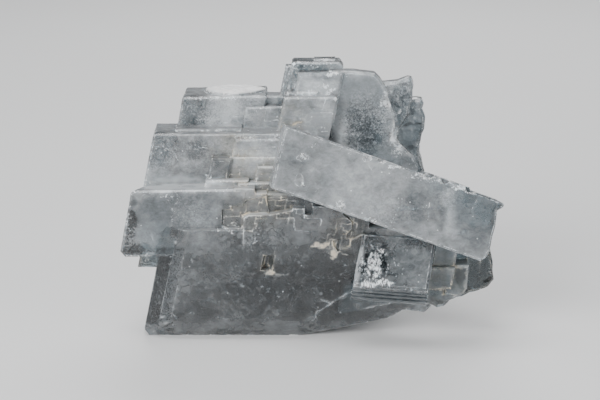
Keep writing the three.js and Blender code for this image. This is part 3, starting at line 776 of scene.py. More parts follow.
# The lower plate's two left bevels, with clean borders: [lowest corner, highest, what they are graded].
STRIPS = [
    ([-44, -14.6, 3.4], [-39.5, -8, 24.0], {"cloud": 0.3, "crackled": 0.7, "smoky": 0.8}),
    ([-39.5, -15.2, 4.8], [-36.6, -12.9, 24.6], {"cloud": 0.56, "crackled": 0.35, "smoky": 0.76}),
]
CLUSTER_ZONES = {
    "broken": [
        # the shards at the upper right, and the worn right foot
        (24, 8, 53, 6, 9, 13, 1), (31, 12, 42, 7, 8, 14, 0.9), (33, -9, 8, 7, 8, 4.5, 0.9),
        (46, -3, 12, 6, 8, 8, 0.6), (27, -6, 6, 6, 6, 4, 0.8),
    ],
    "crust": [(-19.6, 12.8, 61.2, 10.2, 7.8, 2.9, 1)],
    "clear": [
        # the lower plate's grey depths and its outer bevel
        (-2, PLATE, 13, 24, 3, 9, 0.2), (8, PLATE, 15, 13, 3, 9, 0.12), (-25, PLATE, 12, 9, 3, 8, 0.12),
        (-40, -12, 12, 3.4, 6, 12, 0.15),
        # the corners of the stepped blocks
        (-32, 6, 57, 8, 4, 7, 0.3), (-32, 6, 48, 4, 4, 7, 0.2), (-38.6, -4, 48.5, 8, 4, 6, 0.2),
        (-29.5, -4, 47.4, 3.4, 2, 3.4, 0.2), (-18, 6, 51.6, 4, 2, 2.4, 0.15),
        # the left block's edges, and the block under it
        (-46, BLOCK, 31, 2.6, 3, 8, 0.45), (-44, BLOCK, 23, 6, 3, 2.6, 0.4), (-42, -8, 20, 5, 6, 5, 0.8),
        # the stack
        (-1, 8.5, 65.5, 8, 3, 2.4, 0.45), (-7, 6, 60, 3, 6, 7, 0.5), (0, 10, 68, 9, 6, 1.2, 0.2),
    ],
    "crackled": [
        # the stepped blocks
        (-31.5, 6, 55.5, 9, 4, 8, 0.75), (-38, -4, 47.5, 7, 4, 7, 0.6), (-29.5, -4, 47.4, 3.4, 2, 3.4, 0.9),
        (-24, -4, 45, 14, 2, 8, 0.2), (-22, 6, 55, 14, 2, 7, 0.3),
        # the left block, its edges, and the block under it
        (-34, BLOCK, 32, 12, 2, 8, 0.3), (-46, BLOCK, 31, 2.6, 3, 8, 1), (-44, BLOCK, 23, 6, 3, 2.8, 0.9),
        (-42, -8, 20, 5, 6, 4, 1),
        # the stack, the upper right plate and the shards
        (-0.5, 8.5, 65.5, 9, 5, 3.4, 0.7), (-6, 8, 60, 3, 6, 7, 0.8), (3, 6, 60, 7, 4, 4, 0.4),
        (14.5, 5.2, 52, 8, 4, 10, 0.72), (24, 9, 57, 6, 5, 8, 0.8), (29, 12, 42, 4, 6, 12, 0.5),
        # the lower plate
        (-5, PLATE, 15, 34, 2, 12, 0.36), (-41, -13, 14, 6, 3, 14, 0.6), (-15, PLATE, 27, 11, 2, 5, 0.55),
    ],
    "milky": [
        # the stepped blocks and the left block
        (-22, 6, 54, 9, 5, 5, 0.15), (-14, -4, 44, 12, 6, 7, 0.15), (-27, -13, 33, 9, 3, 4, 0.1),
        # the stack, the front step below it and the upper right plate, whose left border beside the stack is
        # made cloudier to lift its shade as painted light
        (3, 6, 61, 7, 5, 4, 0.12), (0, 1, 54, 8, 6, 5, 0.15), (8, 5.2, 53, 2.6, 2, 8, 0.3),
        (15, 5.2, 60, 7, 3, 4, 0.1),
        # the small tablets, and the lower plate's upper and lower parts
        (38, -12, 17, 3.4, 4, 6, 0.2), (-30, PLATE, 26, 12, 3, 3.5, 0.12), (-6, PLATE, 3, 34, 6, 3, 0.08),
    ],
    "pale": [
        (-33, -9, 39.4, 17, 8, 2.2, 0.75),  # the left block's roof
        # the stepped blocks
        (-28, 6, 47, 10, 5, 3, 0.1), (-22, 6, 53, 7, 4, 5, 0.12), (-30, -4, 44, 12, 2, 6, 0.12),
        (-14, -3, 50, 6, 6, 4, 0.2), (-16, 0, 48, 9, 6, 5, 0.15), (-14.5, -5.5, 46, 7, 3, 5, 0.5),
        # the stack and the front step below it
        (2, 4, 61, 7, 3, 4, 0.6), (2, 2, 57, 9, 6, 8, 0.12), (3, 1, 54, 9, 4, 7, 0.5),
        # the upper right plate's left border, lightened as painted light where the stack shades it, and the
        # broken band down its right
        (8, 5.2, 51, 2.6, 2, 8, 0.3), (8, 3.4, 48.6, 1.6, 3, 3.4, 0.8),
        (22.6, 7, 49, 2.2, 4, 9, 0.6), (26.6, 10, 41, 3, 5, 5, 0.5),
    ],
    "smoky": [
        # the right foot and the small tablets
        (45, -4, 14, 10, 12, 16, 0.85), (33, -13, 17, 6, 7, 12, 0.6), (38, -12, 17, 3.4, 5, 6, 0.9),
        # the channel, the plate below it and the terrace; the channel's and the terrace's dark tone under the
        # blade is painted shadow from the blade
        (13, -14, 28, 6, 4, 7, 0.4), (15, PLATE, 24.5, 7, 3, 4, 0.2), (-3, -12.5, 34.5, 9, 4, 3.4, 0.5),
        # the lower plate
        (-4, -14, 6, 38, 8, 6, 0.27), (-6, PLATE, 18, 32, 3, 14, 0.34), (3, PLATE, 17, 15, 3, 7, 0.4),
        (-18, PLATE, 19, 7, 3, 5, 0.38), (-10, PLATE, 26, 32, 3, 5, 0.28), (-14, PLATE, 30, 14, 3, 5, 0.2),
        # the left block, its edges, and the block under it
        (-30, BLOCK, 33, 15, 2, 9, 0.38), (-39, BLOCK, 28, 8, 2, 4, 0.4), (-42, -8, 20, 5, 6, 5, 0.85),
        (-44.2, BLOCK, 35.4, 1.4, 2, 1.6, 0.7), (-44.9, BLOCK, 32.4, 1.6, 2, 2.8, 0.95),
        (-38.8, BLOCK, 26.6, 0.7, 2, 1.4, 0.5),
        # the square tablet and the roof under the crust
        (-22.5, -7.4, 43.2, 3.2, 2, 3.2, 0.1), (-26, 8, 59, 13, 9, 0.8, 0.3),
        # the stack, with two dark windows in its top
        (-1, 8.5, 65.4, 8, 3, 1.5, 0.12), (0, 10, 68, 9, 6, 1.2, 0.12), (3, 4.2, 64.2, 5, 1.5, 1.4, 0.3),
        (-2.8, 8, 66.5, 1.3, 1.5, 0.9, 0.8), (4, 8, 66.2, 1.4, 1.5, 0.7, 0.5),
        # the upper right plate, with its dark crackled heart, and the shards
        (13, 5.2, 59, 10, 3, 7, 0.45), (15, 5.2, 50.6, 5, 3, 7.5, 0.5), (12, 5.2, 56, 7, 3, 6, 0.2),
        (30, 12, 44, 7, 8, 16, 0.6), (24, 9, 56, 5, 5, 8, 0.5),
    ],
    "bright": [
        # painted highlights along the ridges: the borders of the lower plate's bevels, the terrace's upper
        # edge and the square tablet's frame
        (-37, -14, 14, 5, 3, 13, 0.9), (-29, -14.4, 28.9, 10, 1.4, 1.2, 0.9),
        (-6, PLATE, 33.4, 8, 1.6, 1.8, 0.9), (-22.4, -7.4, 43.3, 4.6, 2, 4.6, 1),
        # the stack
        (-1, 8.5, 66, 9, 4, 3.4, 0.8), (-3.8, 5, 62, 1.6, 3, 4.5, 1), (1, 4.6, 65, 6, 2, 1.2, 0.9),
        (-7, 8, 60, 3, 6, 7, 0.9),
    ],
    "quiet": [
        (-30, -3.5, 50.9, 11, 3, 1.4, 0.9),  # a stepped block's upper edge
        (-12, PLATE, 25.5, 4, 3, 1.2, 0.9), (-14, -13.5, 21, 1.2, 3, 4, 0.6),  # round the pit
        (3, PLATE, 20, 18, 2, 10, 0.5), (3, PLATE, 7, 20, 1.8, 2.2, 0.9),  # the lower plate
    ],
    "frosted": [
        # the upper edges of the stepped blocks and the left block
        (-24, 6.3, 58.4, 11, 2.2, 1.1, 0.7), (-33, -2, 50.8, 8, 2.5, 1, 0.2), (-38, -4, 48, 5, 3, 3, 0.5),
        (-17, -5, 50.5, 6, 4, 1.2, 0.7), (-38, -12, 38.3, 10, 2.5, 1.2, 0.45),
        (-35.4, BLOCK, 36.8, 2.4, 2, 1.8, 0.7),
        # the stack and the front step below it
        (6, 5.5, 64, 7, 4, 4, 0.4), (5.4, 5, 65.4, 3, 3, 1.6, 1), (3.2, 4, 62.4, 1.5, 2, 1.2, 1),
        (5, 3.4, 60.4, 2.6, 2.4, 1.3, 1), (0, 3.6, 61, 1.6, 2, 1, 0.9), (3, 5, 58, 6, 4, 3, 0.35),
        (-1, 8.5, 66.6, 8, 3, 1.2, 0.6),
        # the broken band down the upper right plate
        (19.5, 6, 58, 2.6, 5, 4, 1), (22, 7, 49, 2.2, 5, 10, 1), (26, 9, 41, 3.5, 5, 5, 1),
        # the lower plate, and the block above its bevels
        (-21, -14, 29, 5, 2, 1.5, 0.8), (-12, PLATE, 27.5, 6, 2, 4, 0.5), (-41, -13, 14, 3, 4, 12, 0.8),
        (-42, -9, 20, 4, 6, 4, 0.6),
        # the right foot
        (33, -9, 9, 6, 6, 3, 0.4), (43, -6, 12, 3, 6, 4, 0.4), (45.4, -6, 14.6, 1.5, 4, 5, 0.55),
    ],
    "stained": [
        # the small steps in the middle and the blocks behind them, up to the stack
        (-13, -12, 34, 12, 6, 7, 1), (-14, -8, 41, 10, 8, 6, 0.8), (-20, -4, 47, 8, 5, 7, 0.8),
        (-6, -1, 55.5, 6, 8, 5, 0.7), (-4.6, 0.2, 53, 4.6, 3, 2.4, 0.4),
        (9, -14, 27, 7, 4, 8, 0.9), (-11, -14, 19.5, 4, 4, 4.5, 1),  # the channel and the pit
        (33.5, -12, 15, 8, 7, 9, 1.6), (45, -4, 14, 9, 10, 14, 0.9),  # the small tablets and the right foot
        (-42, -9, 20, 4, 6, 4, 0.7),  # the block under the left block
    ],
    "coated": [
        (-6, 0.2, 52.7, 2.4, 2, 0.42, 0.8), (-3.2, 0.2, 53.3, 1.8, 2, 0.36, 0.8),  # a seam on the front step
        (2.6, PLATE, 25.6, 2.7, 2, 0.9, 0.9), (5.6, PLATE, 23.8, 1.3, 2, 2.3, 0.9),  # beside the channel
        (-11, PLATE, 17.9, 2.2, 2, 0.7, 0.7),  # under the pit
    ],
}
BLADE_ZONES = {
    "clear": [(43, -21, 36, 9, 6, 11, 0.22), (28, -21, 36, 7, 6, 5, 0.12)],
    "milky": [(12, -21, 42, 16, 8, 12, 0.12), (34.5, -21, 36, 2.4, 6, 10, 0.2)],
    "pale": [
        (10, -21, 43, 14, 8, 8, 0.1), (30.6, -21.5, 36, 1.4, 6, 8, 0.16), (34, -21, 36, 1.2, 6, 8, 0.16),
        (17, -21.5, 42, 1.6, 6, 8, 0.1),
    ],
    "smoky": [
        (42, -21, 36, 10, 6, 10, 0.14), (-3, -21.5, 49, 4, 6, 5, 0.1),  # the two ends
        # faint bands across the blade
        (26, -21.5, 37, 2.2, 6, 9, 0.14), (38, -21, 37, 1.8, 6, 9, 0.1), (4, -21.5, 45, 2, 6, 9, 0.1),
    ],
    "frosted": [
        (-2, -21.4, 49.3, 1.8, 2, 1.4, 0.8), (-2.7, -22.4, 43.8, 1.6, 2, 2.2, 0.9),  # two oval marks
        # chips along the upper edge
        (13.8, -20.4, 48.6, 1.8, 2, 1.6, 1), (20.2, -20, 47, 2.4, 2, 0.9, 1),
        (8.4, -19.8, 51.2, 2.4, 2, 0.8, 0.8), (0, -21, 52.8, 5, 2, 0.8, 0.6), (30, -20, 44, 9, 4, 1.6, 0.8),
        (38, -19, 41.5, 7, 4, 1.6, 0.9),
        # chips along the lower edge and at the right end
        (7.2, -22.9, 37.5, 2, 2, 2, 0.8), (14.6, -22.8, 33.6, 2.4, 2, 1.6, 0.8),
        (20.8, -22.8, 33.2, 1.4, 2, 2.4, 0.5), (0, -22, 41, 6, 2, 2, 0.5), (46, -20, 36, 1.2, 6, 9, 0.5),
    ],
    "crackled": [(37, -21, 40, 8, 5, 5, 0.35), (20, -22, 36, 9, 5, 5, 0.25)],
    "broken": [(48, -18, 34, 3, 9, 12, 0.4)],
}
TABLET_ZONES = {
    "milky": [(25, -20, 22, 7, 6, 9, 0.15), (20, -20, 12, 16, 7, 4.6, 0.36)],
    "clear": [(15, -20, 22, 4.5, 6, 8, 0.12)],
    "crackled": [(15, -20, 22, 5, 6, 9, 1), (24, -19, 26, 10, 5, 2, 0.5)],
    "smoky": [
        (20, -21, 12.6, 15, 8, 4.4, 0.79), (26, -19, 20, 8, 6, 9, 0.1),  # the ledges under it, its right half
        # dark gaps between the white streaks
        (17.8, -20, 21.4, 1.2, 4, 2.4, 1), (13.8, -20, 24.2, 1, 4, 2.8, 1),
        (18.4, -20, 26, 1, 4, 2.4, 1), (13.2, -20, 20, 0.8, 4, 2.4, 0.9), (15.8, -20, 25, 0.7, 4, 2, 0.9),
    ],
    "pale": [(11.4, -20, 22, 1.6, 6, 9, 0.5)],
    "quiet": [(20, -21, 12.4, 18, 8, 4.6, 1)],  # the ledges under it
    "frosted": [
        (16, -22.5, 17.2, 7, 3, 1.8, 1), (26, -22, 15.8, 7, 4, 0.8, 0.7),  # the lower edge
        (15.6, -20, 21.5, 5, 6, 9, 0.85), (20, -20, 19, 5, 6, 6, 0.45),  # the streaks
    ],
}
ZONES = {"stepped_cluster": CLUSTER_ZONES, "long_blade": BLADE_ZONES, "clear_tablet": TABLET_ZONES}
# Painted light from above: faces that look up are made paler in these zones. Each is the x, y and z of its
# centre, its three radii and its strength.
PAINTED_TOP_LIGHT = [
    (-22, -10, 36, 30, 12, 12, 0.6), (-12, 0, 45, 20, 14, 12, 0.4), (0, 8, 60, 40, 20, 12, 0.15),
    (13, -14, 28, 14, 6, 8, 0.55),
]
GRADES = "clear milky crackled frosted stained coated broken pale smoky quiet bright".split()
QUIET_BACK = 0.75  # how much fainter the growth steps' white lines are on faces that look back
TOP_ROOF = 66.0  # mm: roofs below this height lose most of their smoky tone, as painted light from above
# The roof under the crust: its height in mm at x, how much that rises per mm, and that x.
CRUST_ROOF, CRUST_ROOF_RISE, CRUST_ROOF_X = 58.85, 0.021, -33.0
DISC, DISC_RADIUS = (-39.5, BLOCK, 32.6), 4.55  # a smooth grey disc in the left block's face
DISC_CLOUD, DISC_SMOKE = 0.66, 0.5


# ---- Wear, breaks and the cloudiness inside ----

EDGE_WEAR, NICK = 0.05, 0.25  # mm off every edge, and more where it is nicked
DENTS, FINE_DENTS = 0.06, 0.02  # mm: the faces' broad and fine unevenness
BREAK = 1.1  # mm: how deep a broken end is splintered
GROOVE = 0.06  # mm: how deep a seam is
CRUST_GRAIN = 0.28  # mm: the height of the crust's grains


def disc_and_halo(points):
    """1 on the disc, and up to 0.55 on the frosty rim at its upper right."""
    away = wandering(points, 0.5, 2.0) - DISC
    beyond = np.hypot(away[:, 0], away[:, 2]) - DISC_RADIUS
    on_face = abs(away[:, 1]) < 1.5
    disc = on_face * (1 - smooth(-0.6, 0.3, beyond))
    halo = 0.55 * on_face * thin_line(beyond - 0.4, 0.8) * smooth(-1, 4, away[:, 0] + away[:, 2])
    return disc, halo


def wear(name, points, distance, grade, nick, at_ridge):
    """How far in mm each point moves inwards."""
    inward = DENTS * cloud_noise(points, 9.0, 11) + FINE_DENTS * cloud_noise(points, 1.6, 12)
    inward += (EDGE_WEAR + NICK * nick * (0.4 + 0.6 * grade["frosted"])) * at_ridge
    splinters = 0.7 * splinter_noise(points, 3.4, 51) + 0.3 * splinter_noise(points, 1.5, 58)
    inward += grade["broken"] * BREAK * splinters
    inward += GROOVE * thin_line(distance["seam"], 0.15)
    for *centre, across, up, depth in HOLLOWS[name]:
        away = np.linalg.norm((wandering(points, 0.35, 1.2) - centre) / (across, 2, up), axis=1)
        inward += depth * (1 - smooth(0.3, 1.0, away))
    return inward + grade["crust"] * CRUST_GRAIN * (1 - np.minimum(chip_noise(points, 1.1, 61), 1))


def weathered(name, points, normals, distance):
    """Moves the fine mesh inwards where the crystal is worn, chipped or broken, and grades its clouds."""
    style, zones, cluster = STYLE[name], ZONES[name], name == "stepped_cluster"
    places = wandering(points, 1.6, 3.0)
    grade = {kind: total_near(places, zones.get(kind, [])) for kind in GRADES}
    if cluster:
        disc, halo = disc_and_halo(points)
        grade["smoky"] += disc * (DISC_SMOKE - grade["smoky"]) - 0.7 * halo * grade["smoky"]
        grade["crackled"] *= 1 - 0.8 * disc
        grade["frosted"] = np.maximum(grade["frosted"] * (1 - disc), halo)
    bare_roof = CRUST_ROOF + CRUST_ROOF_RISE * (points[:, 0] - CRUST_ROOF_X)
    crusted = total_near(points, zones.get("crust", [])) > 0.05
    grade["crust"] = smooth(0.0, 0.12, points[:, 2] - bare_roof) * crusted
    nick = smooth(0.55, 0.8, cloud_noise(points, 1.7, 21))
    nick = np.maximum(nick, smooth(0.3, 0.08, chip_noise(points, 6.5, 31)))
    at_ridge = thin_line(distance["ridge"], 0.4)
    inward = wear(name, points, distance, grade, nick, at_ridge)

    # The white lines, some of them painted highlights, the frost and the stains.
    patchy = smooth(0.36, 0.62, cloud_noise(points, 1.7, 72))
    # White along the sharp edges: worn edges, and partly painted highlights.
    edge = thin_line(distance["sharp"], 0.18) * (0.55 + 0.45 * patchy)
    step = thin_line(distance["step"], 0.13) * (0.3 + 0.6 * patchy)
    step *= 1 - QUIET_BACK * smooth(0.3, 0.7, normals[:, 1])
    bright = grade["bright"] * thin_line(distance["ridge"], 0.15) * (0.7 + 0.3 * patchy)
    seam = thin_line(distance["seam"], 0.115) * (0.5 + 0.5 * patchy)
    lines = np.maximum.reduce([edge, step, 0.9 * nick * at_ridge]) * (1 - grade["quiet"])
    near_ridge = thin_line(distance["ridge"], 0.5)
    frosted = np.maximum(grade["frosted"], style["edge_frost"] * near_ridge)
    patches = smooth(0.25, 0.62, cloud_noise(points * style["frost_grain"], 2.2, 73) + 0.2 * near_ridge)
    hollows = [thin_line(distance["crease"], 0.16), thin_line(distance["seam"], 0.14)]
    stain = grade["stained"] * np.maximum.reduce([edge, step, *hollows]) * (0.3 + 0.7 * patchy)

    clouds = np.full(len(points), style["cloud"])
    if cluster:
        for low, high, cloudiness in BLOCKS.values():
            clouds += in_block(places, low, high) * (cloudiness - clouds)
        clouds += disc * (DISC_CLOUD - clouds)
    clouds += 0.36 * (cloud_noise(points, 7.0, 74) - 0.5) + 0.3 * (cloud_noise(points, 2.0, 75) - 0.5)
    clouds += grade["milky"] - grade["clear"]
    if cluster:
        for low, high, graded in STRIPS:
            share = in_block(points, low, high, 0.3)
            clouds += share * (graded["cloud"] - clouds)
            for kind in ("crackled", "smoky"):
                grade[kind] += share * (graded[kind] - grade[kind])
        # Painted light from above: faces that look up turn paler and less dark.
        roof = smooth(0.4, 0.8, normals[:, 2])
        grade["pale"] = np.maximum(grade["pale"], roof * total_near(points, PAINTED_TOP_LIGHT))
        grade["smoky"] *= 1 - 0.8 * roof * (points[:, 2] < TOP_ROOF)
    return points - inward[:, None] * normals, {
        "cloud": np.clip(clouds, 0, 1), "frost": frosted * (0.25 + 0.75 * patches),
        "line": np.maximum.reduce([lines, bright, seam]),
        "stain": np.maximum(stain, smooth(0.35, 0.55, grade["coated"])),
        "crackle": grade["crackled"], "crust": grade["crust"], "broken": grade["broken"],
        "pale": grade["pale"], "smoky": grade["smoky"], "warm": grade["stained"],
    }


# ---- Pieces ----


def linked(name, data):
    made = bpy.data.objects.new(name, data)
    bpy.context.scene.collection.objects.link(made)
    return made


def meshed(name, corners, faces, material):
    """An object from corners in mm."""
    mesh = bpy.data.meshes.new(name)
    mesh.from_pydata(np.asarray(corners) * MM, [], np.asarray(faces).tolist())
    mesh.materials.append(material)
    return linked(name, mesh)


def build_crystal(name, material):
    points, triangles, normals, distance = fine_crystal(name)
    moved, grades = weathered(name, points, normals, distance)
    moved[points[:, 2] < 0.02, 2] = 0  # it rests flat
    moved = np.clip(moved, *(np.array(corner) / MM for corner in cad_box))
    piece = meshed(name + "_fine", moved, triangles, material)
    for grade, values in grades.items():
        attribute = piece.data.attributes.new(grade, "FLOAT", "POINT")
        attribute.data.foreach_set("value", values.astype(np.float32))
    piece.data.shade_smooth()
    piece.data.set_sharp_from_angle(angle=math.radians(28))
    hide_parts(name)
    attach(piece, "root")
    return {"points": moved, "triangles": triangles, "normals": normals, "cloud": grades["cloud"]}


# ---- Veils: clusters of tiny healed cracks inside the clear parts ----

FLAKE = np.array([(1, 0, 0), (0, 1, 0), (-1, 0, 0), (0, -1, 0), (0, 0, 1), (0, 0, -1)], float)
FLAKE_FACES = np.array([
    (0, 1, 4), (1, 2, 4), (2, 3, 4), (3, 0, 4), (1, 0, 5), (2, 1, 5), (3, 2, 5), (0, 3, 5),
])
FLAKE_WIDTH, FLAKE_THICKNESS = (0.1, 0.36), 0.02  # from and to, of its length, and in mm
CLOUDIEST = 0.62  # veils start only where it is less cloudy than this
TO_VIEWER = (0.13, -0.97, 0.2)
# Star-shaped white flaws just below the lower plate's face: x, y, z and the length of their rays, in mm.
STARS = [
    (-36.7, -11.9, 18.4, 1.0), (-17.3, -14.5, 14.4, 1.4), (-12.3, -14.5, 14.2, 0.9),
    (-15.5, -14.5, 20.4, 0.9), (-29.9, -14.5, 21, 1.0), (-3, -14.5, 20.6, 0.8), (-23.5, -14.5, 15.6, 0.6),
    (2.6, -14.5, 12.4, 0.8), (-8.2, -14.5, 11.6, 0.8), (-26.4, -14.5, 14, 0.6), (7.6, -14.5, 17.4, 0.7),
    (-6.2, -14.5, 23.4, 0.6),
]
STAR_RAYS = 9


def random_turn(rng):
    q = rng.normal(size=4)
    w, x, y, z = q / np.linalg.norm(q)
    return np.array([
        [1 - 2 * (y * y + z * z), 2 * (x * y - z * w), 2 * (x * z + y * w)],
        [2 * (x * y + z * w), 1 - 2 * (x * x + z * z), 2 * (y * z - x * w)],
        [2 * (x * z - y * w), 2 * (y * z + x * w), 1 - 2 * (x * x + y * y)],
    ])


def star_shapes(rng):
    for *centre, length in STARS:
        for _ in range(STAR_RAYS):
            ray = FLAKE * [length * rng.uniform(0.5, 1), 0.12, 0.06] @ random_turn(rng).T
            yield np.array(centre) + ray * [1, 0.2, 1]


def veil_shapes(crystal, count, depth, size, rng):
    """Flakes along bowed patches that start below the faces where the crystal is clear."""
    points, normals = crystal["points"], crystal["normals"]
    tree = BVHTree.FromPolygons(points.tolist(), crystal["triangles"].tolist())
    weight = np.clip(CLOUDIEST - crystal["cloud"], 0, 1) ** 1.5
    weight[points[:, 2] < 1.0] = 0
    for anchor in rng.choice(len(points), count, p=weight / weight.sum()):
        plane = random_turn(rng)
        spread = rng.uniform(0.5, 2.2)
        middle = points[anchor] - normals[anchor] * rng.uniform(*depth)
        for _ in range(rng.integers(6, 34)):
            across, along = rng.normal(size=2) * spread
            bow = 0.08 * (across**2 + along**2) / spread
            at = middle + plane @ np.array([across, along * 0.5, bow])
            length = rng.uniform(0, 1) ** 2 * (size[1] - size[0]) + size[0]
            # A flake that would reach the surface, or lies outside the crystal, is left out.
            room = tree.find_nearest(at)[3]
            hit, facing, _, _ = tree.ray_cast(at, TO_VIEWER)
            if room < length + 0.15 or hit is None or facing @ Vector(TO_VIEWER) < 0:
                continue
            shape = FLAKE * [length, length * rng.uniform(*FLAKE_WIDTH), FLAKE_THICKNESS]
            shape = shape * rng.uniform(0.6, 1.4, (6, 3))
            yield at + shape @ (plane @ (np.eye(3) + rng.normal(size=(3, 3)) * 0.12)).T


def build_veils(crystal, name, count, depth, size, slot, material, seed):
    """depth below the surface and size are ranges in mm."""
    rng = np.random.default_rng(seed)
    shapes = list(veil_shapes(crystal, count, depth, size, rng))
    if slot == "cluster":
        shapes += star_shapes(rng)
    faces = FLAKE_FACES + 6 * np.arange(len(shapes))[:, None, None]
    piece = meshed(name, np.concatenate(shapes), faces.reshape(-1, 3), material)
    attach(piece, "root")


# ---- Materials ----

class Nodes:
    """A short way to write a material's nodes."""

    def __init__(self, name):
        self.material = bpy.data.materials.new(name)
        self.material.use_nodes = True
        self.tree = self.material.node_tree
        self.tree.nodes.clear()

    def add(self, kind, inputs, **settings):
        node = self.tree.nodes.new(kind)
        for key, value in settings.items():
            setattr(node, key, value)
        for socket, value in inputs.items():
            if isinstance(value, bpy.types.NodeSocket):
                self.tree.links.new(value, node.inputs[socket])
            else:
                node.inputs[socket].default_value = value
        return node

    def math(self, operation, a, b=0.0, c=0.0, clamp=False):
        return self.add("ShaderNodeMath", {0: a, 1: b, 2: c}, operation=operation, use_clamp=clamp).outputs[0]

    def plus(self, a, b, clamp=False):
        return self.math("ADD", a, b, clamp=clamp)

    def minus(self, a, b, clamp=False):
        return self.math("SUBTRACT", a, b, clamp=clamp)

    def times(self, a, b):
        return self.math("MULTIPLY", a, b)

    def most(self, first, *rest):
        for other in rest:
            first = self.math("MAXIMUM", first, other)
        return first

    def grade(self, name):
        return self.add("ShaderNodeAttribute", {}, attribute_name=name).outputs["Fac"]

    def place(self):
        return self.add("ShaderNodeTexCoord", {}).outputs["Object"]

    def noise(self, scale, detail=3.0, stretch=(1, 1, 1), roughness=0.55, distortion=0.0):
        place = self.add("ShaderNodeMapping", {"Vector": self.place(), "Scale": stretch}).outputs[0]
        return self.add("ShaderNodeTexNoise", {
            "Vector": place, "Scale": scale, "Detail": detail, "Roughness": roughness,
            "Distortion": distortion,
        }).outputs["Fac"]

    def cells(self, scale):
        """The distance to the nearest of many scattered points, and a random colour for each."""
        return self.add("ShaderNodeTexVoronoi", {"Vector": self.place(), "Scale": scale}).outputs

    def flecks(self, scale, size, share):
        """Small round dots, size of a cell across, in that share of the cells."""
        cells = self.cells(scale)
        random = self.add("ShaderNodeSeparateColor", {0: cells["Color"]}).outputs[0]
        chosen = self.math("LESS_THAN", random, share)
        return self.times(self.band(cells["Distance"], size, size * 0.5), chosen)

    def threads(self, scale, width, stretch=(1, 1, 1)):
        """Thin wandering lines."""
        field = self.noise(scale, 4.0, stretch=stretch, roughness=0.6, distortion=0.8)
        return self.band(self.math("ABSOLUTE", self.minus(field, 0.5)), width, 0.0)

    def band(self, value, low, high):
        """0 at low, 1 at high."""
        return self.add("ShaderNodeMapRange", {"Value": value, "From Min": low, "From Max": high},
                        interpolation_type="SMOOTHSTEP").outputs[0]

    def mix(self, share, a, b, blend="MIX"):
        inputs = {0: share, 6: a, 7: b}
        return self.add("ShaderNodeMix", inputs, data_type="RGBA", blend_type=blend).outputs[2]

    def bump(self, height, strength, distance, under=None):
        """distance in metres. under is another bump's result, which this one adds to."""
        inputs = {"Height": height, "Strength": strength, "Distance": distance}
        return self.add("ShaderNodeBump", inputs | ({"Normal": under} if under else {})).outputs[0]

    def finish(self, inputs, volume=None):
        """Makes the surface from a Principled shader's inputs, and returns the material."""
        sockets = {"Surface": self.add("ShaderNodeBsdfPrincipled", inputs).outputs[0]}
        self.add("ShaderNodeOutputMaterial", sockets | ({"Volume": volume} if volume else {}))
        return self.material


def grey(value, tint=(1, 1, 1)):
    return (*(value * part for part in tint), 1)


WHITE = grey(1.0)
COOL = (0.955, 1.0, 1.03)
DEEP = (0.775, 1.0, 1.17)
TAN = (1.11, 1.0, 0.81)
BARITE_IOR = 1.64
FADING = (0.688, 0.75, 0.773, 1)  # the colour that light takes as it fades in the clear parts


